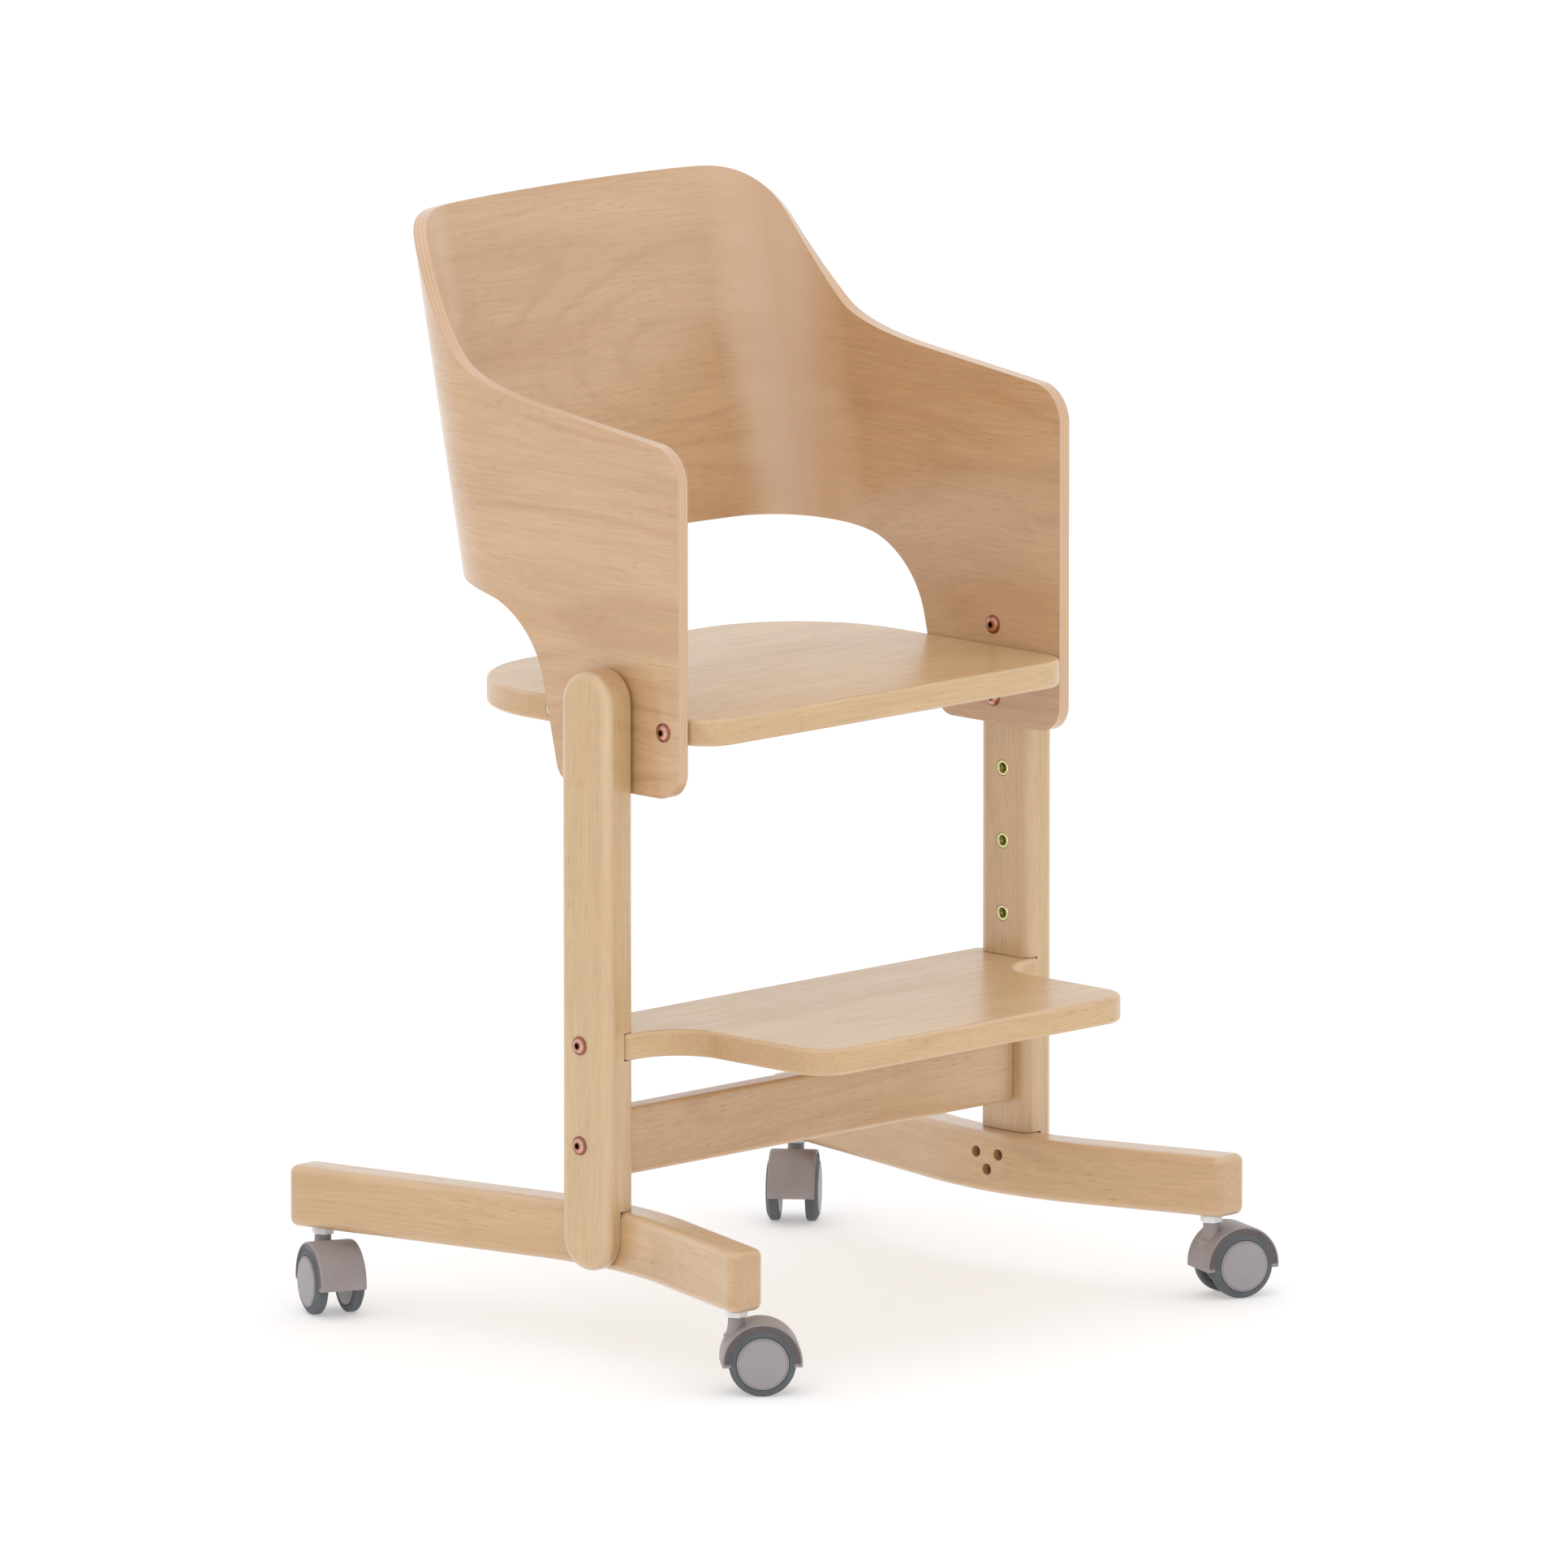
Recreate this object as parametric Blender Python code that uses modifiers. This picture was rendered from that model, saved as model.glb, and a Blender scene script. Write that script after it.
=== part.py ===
"""Baby high chair: a bent-plywood seat shell bolted between two posts, on a rolling base.

Blender 4.5, metres, +Z up. The child faces -Y, and its left hand is at +X. Every piece is placed
about the chair's plane of symmetry (x = 0), the posts' centre line (y = 0) and the floor (z = 0).
One empty, chair_frame, then moves the whole chair so that the origin lies on the floor under the
middle of its bounding box, which the turned casters make a little uneven.
"""
import math

import bmesh
import bpy
from mathutils import Vector

MM = 0.001
GAP = 0.3 * MM                        # left between pieces that touch
CHAIR_FRAME = Vector((-7.9, -31.7, 0.0)) * MM
LEFT, RIGHT = 1, -1                   # the child's left is at +X
SIDES = {"left": LEFT, "right": RIGHT}

# Seat shell: plywood bent into a U, its back leaning
SHELL_THICKNESS = 10.0 * MM
SHELL_HALF_WIDTH = 204.3 * MM         # outer face
SHELL_BEND_RADIUS = 80.0 * MM         # outer face
SHELL_EDGE_RADIUS = 2.5 * MM
BACK_LEAN = math.radians(11.9)
BACK_LEVEL = 558.5 * MM               # height at which the back's outer face is at BACK_Y
BACK_Y = 203.7 * MM
BACK_STEPS = 5
BEND_STEPS = 9
SHELL_FRONT = -69.2 * MM
SHELL_BOTTOM = 419.0 * MM
# the shell's edges over the back and the bend: Bezier start, two handles and end,
# as (arc length from the middle of the back, height) in mm
CROWN_EDGE = ((0.0, 819.0), (50.0, 819.0), (105.0, 818.0), (145.0, 815.5))
SHOULDER_EDGE = ((145.0, 815.5), (178.0, 812.5), (197.0, 800.0), (209.0, 775.0))
FALL_EDGE = ((209.0, 775.0), (217.0, 758.0), (236.0, 727.5), (250.0, 716.5))
ARCH_EDGE = ((0.0, 560.0), (100.0, 560.0), (215.0, 557.5), (250.0, 546.5))
# the edges of the side panels, as (y, z)
ARM_HANDLES = ((140.7 * MM, 705.5 * MM), (106.0 * MM, 698.3 * MM))
ARM_START = (75.0 * MM, 694.6 * MM)   # where the armrest runs on in a straight line
ARM_TIP = (SHELL_FRONT, 677.3 * MM)
LEG_HANDLES = ((103.0 * MM, 540.0 * MM), (79.0 * MM, 522.0 * MM))
LEG_START = (72.0 * MM, 492.0 * MM)
HEEL = (54.9 * MM, SHELL_BOTTOM)
TOE = (SHELL_FRONT, SHELL_BOTTOM)
ARM_TIP_RADIUS = 29.0 * MM
HEEL_RADIUS = 15.0 * MM
TOE_RADIUS = 20.0 * MM

# Posts
POST_INNER = SHELL_HALF_WIDTH + GAP
POST_THICKNESS = 30.0 * MM
POST_WIDTH = 50.0 * MM
POST_BOTTOM = 63.0 * MM
POST_TOP = 511.0 * MM
POST_EDGE_RADIUS = 8.0 * MM

# Seat board
SEAT_TOP = 478.5 * MM
SEAT_THICKNESS = 20.0 * MM
SEAT_HALF_WIDTH = 193.5 * MM
SEAT_FRONT = -87.3 * MM
SEAT_REAR = 204.7 * MM
SEAT_FRONT_CORNER = 30.0 * MM
SEAT_REAR_CORNER = 105.0 * MM
BOARD_EDGE_RADIUS = 3.0 * MM

# Footrest
FOOTREST_TOP = 241.6 * MM
FOOTREST_THICKNESS = 20.0 * MM
FOOTREST_FRONT = -178.5 * MM
FOOTREST_REAR = 35.6 * MM
FOOTREST_HALF_WIDTH = 164.5 * MM
FOOTREST_CORNER = 28.0 * MM
FOOTREST_NECK = 39.0 * MM             # concave radius where the front part meets the tabs
TAB_FRONT = -29.0 * MM
TAB_CORNER = 6.0 * MM
HOUSING_DEPTH = 12.0 * MM             # how far the boards are let into the posts

# Crossbar
CROSSBAR_HEIGHT = 50.0 * MM
CROSSBAR_THICKNESS = 20.0 * MM
CROSSBAR_BOTTOM = 131.8 * MM
CROSSBAR_Y = -1.7 * MM
CROSSBAR_EDGE_RADIUS = 4.0 * MM

# Runners: bent in plan, so that both ends splay outward
RUNNER_BOTTOM = 62.5 * MM
RUNNER_HEIGHT = 46.0 * MM
RUNNER_THICKNESS = 30.0 * MM
RUNNER_INNER = 188.1 * MM             # inner face at its nearest to the middle
RUNNER_BEND_Y = 11.2 * MM             # where the inner face is nearest
RUNNER_BEND_RADIUS = 295.0 * MM       # inner face, which is the long way round
RUNNER_FRONT_SPLAY = math.radians(18.3)
RUNNER_REAR_SPLAY = math.radians(11.8)
RUNNER_FRONT = -192.5 * MM
RUNNER_REAR = 281.0 * MM
RUNNER_EDGE_RADIUS = 6.0 * MM
RUNNER_CORNER = 6.5 * MM
SCREW_RECESS_RADIUS = 4.4 * MM
SCREW_RECESS_DEPTH = 12.0 * MM
SCREW_PLACES = ((11.0, 92.8), (-11.0, 92.8), (0.0, 80.5))   # (y, z) in mm

# Bolts and threaded inserts
BOLT_HEAD_RADIUS = 7.0 * MM
BOLT_HEAD_HEIGHT = 3.0 * MM
BOLT_SHANK_RADIUS = 3.0 * MM
BOLT_LENGTH = 30.0 * MM
LONG_BOLT_LENGTH = 45.0 * MM
BOLT_HOLE_RADIUS = 3.5 * MM
SOCKET_RADIUS = 2.3 * MM              # hexagon, across the corners
SOCKET_DEPTH = 2.0 * MM
INSERT_FLANGE_RADIUS = 5.8 * MM
INSERT_FLANGE_THICKNESS = 1.2 * MM
INSERT_RADIUS = 4.6 * MM
INSERT_BORE_RADIUS = 3.35 * MM
INSERT_LENGTH = 13.0 * MM
INSERT_STAGES = ((INSERT_FLANGE_RADIUS + GAP, INSERT_FLANGE_THICKNESS + GAP),
                 (INSERT_RADIUS + GAP, INSERT_LENGTH + GAP))
TOP_INSERT = 493.3 * MM
INSERT_PITCH = 55.0 * MM              # seat-height steps
INSERT_COUNT = 5
SHELL_BOLT_INSERTS = (0, 1)           # the two inserts that hold the shell, counted from the top
LOWER_BOLT_Y = 3.4 * MM               # footrest and crossbar bolts
SEAT_BOLT_YS = (-53.7 * MM, 42.3 * MM)
SEAT_INSERT_Y = 74.3 * MM             # spare insert, 32 mm behind the rear seat bolt

# Twin-wheel casters
WHEEL_RADIUS = 25.0 * MM
WHEEL_STEPS = 20
WHEEL_INNER = 10.2 * MM               # from the caster's middle plane, as are the next six
TREAD_EDGE = 17.5 * MM
TYRE_FACE = 19.7 * MM                 # where the coned tyre meets the disc
HUB_EDGE = 19.8 * MM
HUB_SHOULDER = 20.5 * MM
HUB_CROWN = 20.8 * MM
HUB_BORE_END = 18.0 * MM
TREAD_EASE = 0.8 * MM                 # rounding of the tread's edges
TYRE_BORE = 19.6 * MM
HUB_RADIUS = 19.3 * MM
HUB_SHOULDER_RADIUS = 12.0 * MM
HUB_BORE = 2.9 * MM
AXLE_RADIUS = 2.5 * MM
AXLE_HALF_LENGTH = 17.5 * MM
AXLE_HEIGHT = WHEEL_RADIUS * math.cos(math.pi / WHEEL_STEPS)   # a facet lies on the floor
CASTER_TRAIL = 18.0 * MM
HOOD_RADIUS = 30.2 * MM
HOOD_SIDE_RADIUS = 29.6 * MM
HOOD_HALF_WIDTH = 17.8 * MM
HOOD_EASE = 3.0 * MM                  # where the hood's rounded edge begins, in from its side
HOOD_SKIRT = 3.0 * MM                 # how far the hood reaches below the axle
POCKET_RADIUS = 27.7 * MM
WEB_HALF_WIDTH = 8.6 * MM
NECK_RADIUS = 6.25 * MM
NECK_BOTTOM = 35.0 * MM
NECK_TOP = 56.4 * MM
PIVOT_RADIUS = 3.5 * MM
PIVOT_BORE = 3.8 * MM
PIVOT_BOTTOM = 40.0 * MM
COLLAR_RADIUS = 8.4 * MM              # hexagon, across the corners
STEM_RADIUS = 4.0 * MM
STEM_TOP = 96.0 * MM
# name: (side, y of the stem, distance of the stem from the middle, direction the wheels trail)
CASTERS = {
    "caster_front_left": (LEFT, -174.6 * MM, 249.5 * MM, math.radians(-20.0)),
    "caster_front_right": (RIGHT, -174.6 * MM, 249.5 * MM, math.radians(-41.0)),
    "caster_rear_left": (LEFT, 261.5 * MM, 248.5 * MM, math.radians(-140.0)),
    "caster_rear_right": (RIGHT, 261.5 * MM, 248.5 * MM, math.radians(-114.5)),
}

MERGE = 0.01 * MM
UPRIGHT = (math.radians(90), 0.0, math.radians(90))   # drawing x, y and depth become y, z and x
THROUGH = 1.0 * MM                                    # how far a cutter runs past a face


# ---------------------------------------------------------------- scene, materials and small helpers
def clear_scene():
    for old in list(bpy.data.objects):
        bpy.data.objects.remove(old, do_unlink=True)


def new_collection(name):
    collection = bpy.data.collections.new(name)
    bpy.context.scene.collection.children.link(collection)
    return collection


def material(name, color, roughness, metallic=0.0):
    made = bpy.data.materials.new(name)
    made.use_nodes = True
    shader = made.node_tree.nodes["Principled BSDF"]
    shader.inputs["Base Color"].default_value = (*color, 1.0)
    shader.inputs["Roughness"].default_value = roughness
    shader.inputs["Metallic"].default_value = metallic
    return made


def new_empty(name, location, turn=0.0, parent=None):
    empty = bpy.data.objects.new(name, None)
    empty.location = location
    empty.rotation_euler = (0.0, 0.0, turn)
    empty.parent = parent
    PARTS.objects.link(empty)
    return empty


def loose(name, data):
    """An object at the world's origin, to be worked on and then frozen."""
    made = bpy.data.objects.new(name, data)
    PARTS.objects.link(made)
    return made


def place(name, mesh, location=(0.0, 0.0, 0.0), rotation=(0.0, 0.0, 0.0), parent=None, finish=None):
    """A piece of the chair, in the parts collection and under its parent empty."""
    piece = bpy.data.objects.new(name, mesh)
    piece.location = location
    piece.rotation_euler = rotation
    piece.parent = parent or CHAIR
    if finish:
        mesh.materials.clear()
        mesh.materials.append(finish)
    PARTS.objects.link(piece)
    return piece


def cutter(mesh, location=(0.0, 0.0, 0.0), rotation=(0.0, 0.0, 0.0), parent=None):
    tool = bpy.data.objects.new("cutter", mesh)
    tool.location = location
    tool.rotation_euler = rotation
    tool.parent = parent
    tool.hide_render = True
    tool.display_type = "WIRE"
    CUTTERS.objects.link(tool)
    return tool


def combine(piece, tool, operation="DIFFERENCE"):
    boolean = piece.modifiers.new(operation.lower(), "BOOLEAN")
    boolean.operation = operation
    boolean.solver = "EXACT"
    boolean.object = tool


def freeze(obj):
    """The object's evaluated mesh, welded and shaded; the object itself is removed."""
    bpy.context.view_layer.update()
    evaluated = obj.evaluated_get(bpy.context.evaluated_depsgraph_get())
    mesh = bpy.data.meshes.new_from_object(evaluated)
    name = obj.name
    bpy.data.objects.remove(obj, do_unlink=True)
    work = bmesh.new()
    work.from_mesh(mesh)
    bmesh.ops.remove_doubles(work, verts=work.verts, dist=MERGE)
    bmesh.ops.recalc_face_normals(work, faces=work.faces)
    work.to_mesh(mesh)
    work.free()
    mesh.name = name
    mesh.shade_smooth()
    mesh.set_sharp_from_angle(angle=math.radians(40))
    return mesh


# ---------------------------------------------------------------- outlines
def arc(centre, radius, start, end, steps):
    angles = [start + (end - start) * step / steps for step in range(steps + 1)]
    return [Vector((centre[0] + radius * math.cos(a), centre[1] + radius * math.sin(a))) for a in angles]


def fillet(before, corner, after, radius, steps):
    """The arc that rounds a corner between two straight lines."""
    here = Vector(corner)
    back = (Vector(before) - here).normalized()
    ahead = (Vector(after) - here).normalized()
    half = back.angle(ahead) / 2
    centre = here + (back + ahead).normalized() * radius / math.sin(half)
    first = here + back * radius / math.tan(half) - centre
    last = here + ahead * radius / math.tan(half) - centre
    start = math.atan2(first.y, first.x)
    turn = (math.atan2(last.y, last.x) - start + math.pi) % math.tau - math.pi
    return arc(centre, radius, start, start + turn, steps)


def rounded_outline(corners, steps=5):
    """A closed outline through (x, y, radius) corners."""
    points = []
    for index, (x, y, radius) in enumerate(corners):
        before = corners[index - 1][:2]
        after = corners[(index + 1) % len(corners)][:2]
        for point in fillet(before, (x, y), after, radius, steps) if radius else [Vector((x, y))]:
            if not points or (point - points[-1]).length > MERGE:
                points.append(point)
    return points[:-1] if (points[0] - points[-1]).length < MERGE else points


def bezier(start, start_handle, end_handle, end, steps):
    p0, p1, p2, p3 = (Vector(p) for p in (start, start_handle, end_handle, end))
    points = []
    for step in range(steps + 1):
        t = step / steps
        points.append(p0 * (1 - t) ** 3 + p1 * 3 * t * (1 - t) ** 2 + p2 * 3 * t * t * (1 - t) + p3 * t ** 3)
    return points


def straight(start, end, steps):
    return [Vector(start).lerp(Vector(end), step / steps) for step in range(steps + 1)]


def chain(*stretches):
    """One polyline from stretches that share their end points."""
    points = list(stretches[0])
    for stretch in stretches[1:]:
        points += stretch[1:]
    return points


# ---------------------------------------------------------------- solids
def plate(name, outline, thickness, edge_radius, edge_steps):
    """A flat board with rounded edges, its outline in x and y and its thickness along z."""
    curve = bpy.data.curves.new(name, "CURVE")
    curve.dimensions = "2D"
    curve.fill_mode = "BOTH"
    spline = curve.splines.new("POLY")
    spline.points.add(len(outline) - 1)
    for point, place_2d in zip(spline.points, outline):
        point.co = (*place_2d, 0.0, 1.0)
    spline.use_cyclic_u = True
    curve.extrude = thickness / 2 - edge_radius
    curve.bevel_depth = edge_radius
    curve.bevel_resolution = edge_steps
    curve.offset = -edge_radius
    return freeze(loose(name, curve))


def turned(name, profile, steps, ring=False, first_angle=0.0):
    """A lathe shape about z; its (radius, z) profile runs down the outer side."""
    mesh = bpy.data.meshes.new(name)
    work = bmesh.new()
    verts = [work.verts.new((r * math.cos(first_angle), r * math.sin(first_angle), z)) for r, z in profile]
    for upper, lower in zip(verts, verts[1:]):
        work.edges.new((upper, lower))
    if ring:
        work.edges.new((verts[-1], verts[0]))
    work.to_mesh(mesh)
    work.free()
    shape = loose(name, mesh)
    screw = shape.modifiers.new("turn", "SCREW")
    screw.steps = steps
    screw.render_steps = steps
    screw.use_merge_vertices = True
    screw.merge_threshold = MERGE
    return shape


def cylinder(name, radius, bottom, top, steps=16):
    return freeze(turned(name, [(0.0, top), (radius, top), (radius, bottom), (0.0, bottom)], steps))


def block(name, low, high):
    """A box between two corners."""
    mesh = bpy.data.meshes.new(name)
    work = bmesh.new()
    bmesh.ops.create_cube(work, size=1.0)
    size = Vector(high) - Vector(low)
    middle = (Vector(high) + Vector(low)) / 2
    for vert in work.verts:
        vert.co = Vector(a * b for a, b in zip(vert.co, size)) + middle
    work.to_mesh(mesh)
    work.free()
    return mesh


def bore(piece, mouth, heading, *stages):
    """A stepped round hole along x; its mouth opens towards heading, stages are (radius, depth)."""
    profile = [(0.0, THROUGH)]
    above = THROUGH
    for radius, depth in stages:
        profile += [(radius, above), (radius, -depth)]
        above = -depth
    profile.append((0.0, above))
    tool = freeze(turned("bore", profile, 12))
    combine(piece, cutter(tool, mouth, along_x(heading), CHAIR))


def along_x(heading):
    """The turn that points a fastener's head, or a hole's mouth, along x."""
    return (0.0, heading * math.pi / 2, 0.0)


# ---------------------------------------------------------------- seat shell
def back_shift(z):
    """How far the leaning back has moved rearward at this height."""
    return (z - BACK_LEVEL) * math.tan(BACK_LEAN)


def shell_point(s, z):
    """A point of the outer face at arc length s from the back's middle, over the back and the bend."""
    flat = SHELL_HALF_WIDTH - SHELL_BEND_RADIUS
    rear = BACK_Y + back_shift(z)
    if s <= flat:
        return Vector((s, rear, z))
    angle = (s - flat) / SHELL_BEND_RADIUS
    x = flat + SHELL_BEND_RADIUS * math.sin(angle)
    return Vector((x, rear - SHELL_BEND_RADIUS * (1 - math.cos(angle)), z))


def at(points, s):
    """Height of a polyline of (s, z) points at s."""
    for first, second in zip(points, points[1:]):
        if first.x <= s <= second.x:
            return first.lerp(second, (s - first.x) / (second.x - first.x)).y
    return points[-1].y


def mm_points(points):
    return [Vector(point) * MM for point in points]


def shell_columns():
    """Pairs of outer-face points, bottom and top, from the back's middle round to the front edge."""
    flat = SHELL_HALF_WIDTH - SHELL_BEND_RADIUS
    bend_end = flat + SHELL_BEND_RADIUS * math.pi / 2
    upper = chain(bezier(*mm_points(CROWN_EDGE), 8), bezier(*mm_points(SHOULDER_EDGE), 12),
                  bezier(*mm_points(FALL_EDGE), 12))
    lower = bezier(*mm_points(ARCH_EDGE), 24)
    over_back = [flat * step / BACK_STEPS for step in range(BACK_STEPS)]
    over_bend = [flat + (bend_end - flat) * step / BEND_STEPS for step in range(BEND_STEPS + 1)]
    columns = []
    for s in over_back + over_bend:
        columns.append((shell_point(s, at(lower, s)), shell_point(s, at(upper, s))))
    # side panel: its lower edge runs down the leg, round and forward, its upper edge along the armrest
    leg_top, arm_rear = [(point.y, point.z) for point in columns[-1]]
    heel_arc = fillet(LEG_START, HEEL, TOE, HEEL_RADIUS, 4)
    toe_arc = fillet(HEEL, TOE, ARM_TIP, TOE_RADIUS, 5)
    tip_arc = fillet(ARM_START, ARM_TIP, TOE, ARM_TIP_RADIUS, 5)
    leg = bezier(leg_top, *LEG_HANDLES, LEG_START, 8)
    sole = straight(heel_arc[-1], toe_arc[0], 3)
    under = chain(leg, straight(LEG_START, heel_arc[0], 1), heel_arc, sole, toe_arc)
    dip = bezier(arm_rear, *ARM_HANDLES, ARM_START, 8)
    over = chain(dip, straight(ARM_START, tip_arc[0], 8), tip_arc)
    x = SHELL_HALF_WIDTH
    columns += [(Vector((x, *low)), Vector((x, *high))) for low, high in zip(under[1:], over[1:])]
    return columns


def build_shell():
    columns = shell_columns()
    mesh = bpy.data.meshes.new("backrest_shell")
    work = bmesh.new()
    bmesh.ops.create_grid(work, x_segments=len(columns) - 1, y_segments=1, size=1.0)
    for vert in work.verts:
        column = columns[round((vert.co.x + 1) / 2 * (len(columns) - 1))]
        vert.co = column[1] if vert.co.y > 0 else column[0]
    bmesh.ops.recalc_face_normals(work, faces=work.faces)
    outward = sum((face.normal.x for face in work.faces), 0.0)
    if outward < 0:
        bmesh.ops.reverse_faces(work, faces=work.faces)
    work.to_mesh(mesh)
    work.free()
    shell = place("backrest_shell", mesh, finish=PLY)
    mirror = shell.modifiers.new("other half", "MIRROR")
    mirror.merge_threshold = MERGE
    solid = shell.modifiers.new("plywood", "SOLIDIFY")
    solid.thickness = SHELL_THICKNESS
    solid.offset = -1.0
    solid.use_even_offset = True
    bevel = shell.modifiers.new("edges", "BEVEL")
    bevel.width = SHELL_EDGE_RADIUS
    bevel.segments = 1
    bevel.limit_method = "ANGLE"
    bevel.angle_limit = math.radians(40)
    mesh.shade_smooth()
    bolt_places = [(0.0, TOP_INSERT - index * INSERT_PITCH) for index in SHELL_BOLT_INSERTS]
    bolt_places += [(y, SEAT_TOP - SEAT_THICKNESS / 2) for y in SEAT_BOLT_YS]
    for side in SIDES.values():
        for y, z in bolt_places:
            mouth = (side * SHELL_HALF_WIDTH, y, z)
            bore(shell, mouth, side, (BOLT_HOLE_RADIUS, SHELL_THICKNESS + THROUGH))


# ---------------------------------------------------------------- boards
def build_seat():
    outline = rounded_outline([
        (-SEAT_HALF_WIDTH, SEAT_FRONT, SEAT_FRONT_CORNER),
        (SEAT_HALF_WIDTH, SEAT_FRONT, SEAT_FRONT_CORNER),
        (SEAT_HALF_WIDTH, SEAT_REAR, SEAT_REAR_CORNER),
        (-SEAT_HALF_WIDTH, SEAT_REAR, SEAT_REAR_CORNER),
    ], 8)
    middle = SEAT_TOP - SEAT_THICKNESS / 2
    mesh = plate("seat_board", outline, SEAT_THICKNESS, BOARD_EDGE_RADIUS, 1)
    seat = place("seat_board", mesh, (0.0, 0.0, middle), finish=BOARD)
    bolt_depth = SEAT_HALF_WIDTH - SHELL_HALF_WIDTH + BOLT_LENGTH + THROUGH
    for side in SIDES.values():
        for y in SEAT_BOLT_YS:
            bore(seat, (side * SEAT_HALF_WIDTH, y, middle), side, (BOLT_HOLE_RADIUS, bolt_depth))
        bore(seat, (side * SEAT_HALF_WIDTH, SEAT_INSERT_Y, middle), side, *INSERT_STAGES)


def build_footrest():
    tab_end = POST_INNER + HOUSING_DEPTH - GAP
    half = [
        (tab_end, FOOTREST_REAR, TAB_CORNER),
        (tab_end, TAB_FRONT, TAB_CORNER),
        (FOOTREST_HALF_WIDTH, TAB_FRONT, FOOTREST_NECK),
        (FOOTREST_HALF_WIDTH, FOOTREST_FRONT, FOOTREST_CORNER),
    ]
    corners = half + [(-x, y, radius) for x, y, radius in reversed(half)]
    mesh = plate("footrest", rounded_outline(corners), FOOTREST_THICKNESS, BOARD_EDGE_RADIUS, 1)
    footrest = place("footrest", mesh, (0.0, 0.0, footrest_middle()), finish=BOARD)
    for side in SIDES.values():
        mouth = (side * tab_end, LOWER_BOLT_Y, footrest_middle())
        bore(footrest, mouth, side, (BOLT_HOLE_RADIUS, long_bolt_depth(tab_end)))


def footrest_middle():
    return FOOTREST_TOP - FOOTREST_THICKNESS / 2


def long_bolt_depth(face):
    """How deep a bolt through the post needs its hole, from a face at this distance from the middle."""
    return face - (POST_INNER + POST_THICKNESS - LONG_BOLT_LENGTH) + THROUGH


def build_crossbar():
    half_length = POST_INNER - GAP
    low = (-half_length, CROSSBAR_Y - CROSSBAR_THICKNESS / 2, CROSSBAR_BOTTOM)
    high = (half_length, CROSSBAR_Y + CROSSBAR_THICKNESS / 2, CROSSBAR_BOTTOM + CROSSBAR_HEIGHT)
    crossbar = place("crossbar", block("crossbar", low, high), finish=RAIL)
    bevel = crossbar.modifiers.new("edges", "BEVEL")
    bevel.width = CROSSBAR_EDGE_RADIUS
    bevel.segments = 3
    bevel.limit_method = "WEIGHT"
    mark_long_edges(crossbar.data)
    for side in SIDES.values():
        mouth = (side * half_length, LOWER_BOLT_Y, crossbar_bolt_z())
        bore(crossbar, mouth, side, (BOLT_HOLE_RADIUS, long_bolt_depth(half_length)))


def mark_long_edges(mesh):
    """Bevel weight on the edges that run along x."""
    weights = mesh.attributes.new("bevel_weight_edge", "FLOAT", "EDGE")
    for edge in mesh.edges:
        first, second = (mesh.vertices[index].co for index in edge.vertices)
        weights.data[edge.index].value = 1.0 if abs(first.x - second.x) > CROSSBAR_HEIGHT else 0.0


def crossbar_bolt_z():
    return CROSSBAR_BOTTOM + CROSSBAR_HEIGHT / 2


# ---------------------------------------------------------------- posts and runners
def insert_heights():
    return [TOP_INSERT - index * INSERT_PITCH for index in range(INSERT_COUNT)]


def build_post(name, side):
    half = POST_WIDTH / 2
    outline = rounded_outline([
        (-half, POST_BOTTOM, half),
        (half, POST_BOTTOM, half),
        (half, POST_TOP, half),
        (-half, POST_TOP, half),
    ])
    mesh = plate(name, outline, POST_THICKNESS, POST_EDGE_RADIUS, 2)
    middle = POST_INNER + POST_THICKNESS / 2
    post = place(name, mesh, (side * middle, 0.0, 0.0), UPRIGHT, finish=POST)
    # housings for the footrest and the runner, cut into the inner face
    low_z = FOOTREST_TOP - FOOTREST_THICKNESS - GAP
    house(post, side, HOUSING_DEPTH, low_z, FOOTREST_TOP + GAP)
    runner_depth = runner_outer_at_post() + GAP - POST_INNER
    house(post, side, runner_depth, RUNNER_BOTTOM - POST_EDGE_RADIUS, RUNNER_BOTTOM + RUNNER_HEIGHT + GAP)
    bolt_end = (BOLT_HOLE_RADIUS, BOLT_LENGTH - SHELL_THICKNESS + THROUGH)
    for index, z in enumerate(insert_heights()):
        stages = (*INSERT_STAGES, bolt_end) if index in SHELL_BOLT_INSERTS else INSERT_STAGES
        bore(post, (side * POST_INNER, 0.0, z), -side, *stages)
    outer = POST_INNER + POST_THICKNESS
    for z in (footrest_middle(), crossbar_bolt_z()):
        bore(post, (side * outer, LOWER_BOLT_Y, z), side, (BOLT_HOLE_RADIUS, POST_THICKNESS + THROUGH))


def house(post, side, depth, low_z, high_z):
    low_x, high_x = sorted((side * (POST_INNER - THROUGH), side * (POST_INNER + depth)))
    low = (low_x, -POST_WIDTH, low_z)
    combine(post, cutter(block("housing", low, (high_x, POST_WIDTH, high_z)), parent=CHAIR))


def runner_face(offset, steps=8):
    """One long face of a runner in plan, offset outward from the inner face, from front to rear."""
    centre = (RUNNER_INNER + RUNNER_BEND_RADIUS, RUNNER_BEND_Y)
    radius = RUNNER_BEND_RADIUS - offset
    bend = arc(centre, radius, math.pi + RUNNER_FRONT_SPLAY, math.pi - RUNNER_REAR_SPLAY, steps)
    front_reach = (bend[0].y - RUNNER_FRONT) * math.tan(RUNNER_FRONT_SPLAY)
    rear_reach = (RUNNER_REAR - bend[-1].y) * math.tan(RUNNER_REAR_SPLAY)
    front_end = Vector((bend[0].x + front_reach, RUNNER_FRONT))
    rear_end = Vector((bend[-1].x + rear_reach, RUNNER_REAR))
    return [front_end] + bend + [rear_end]


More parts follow.
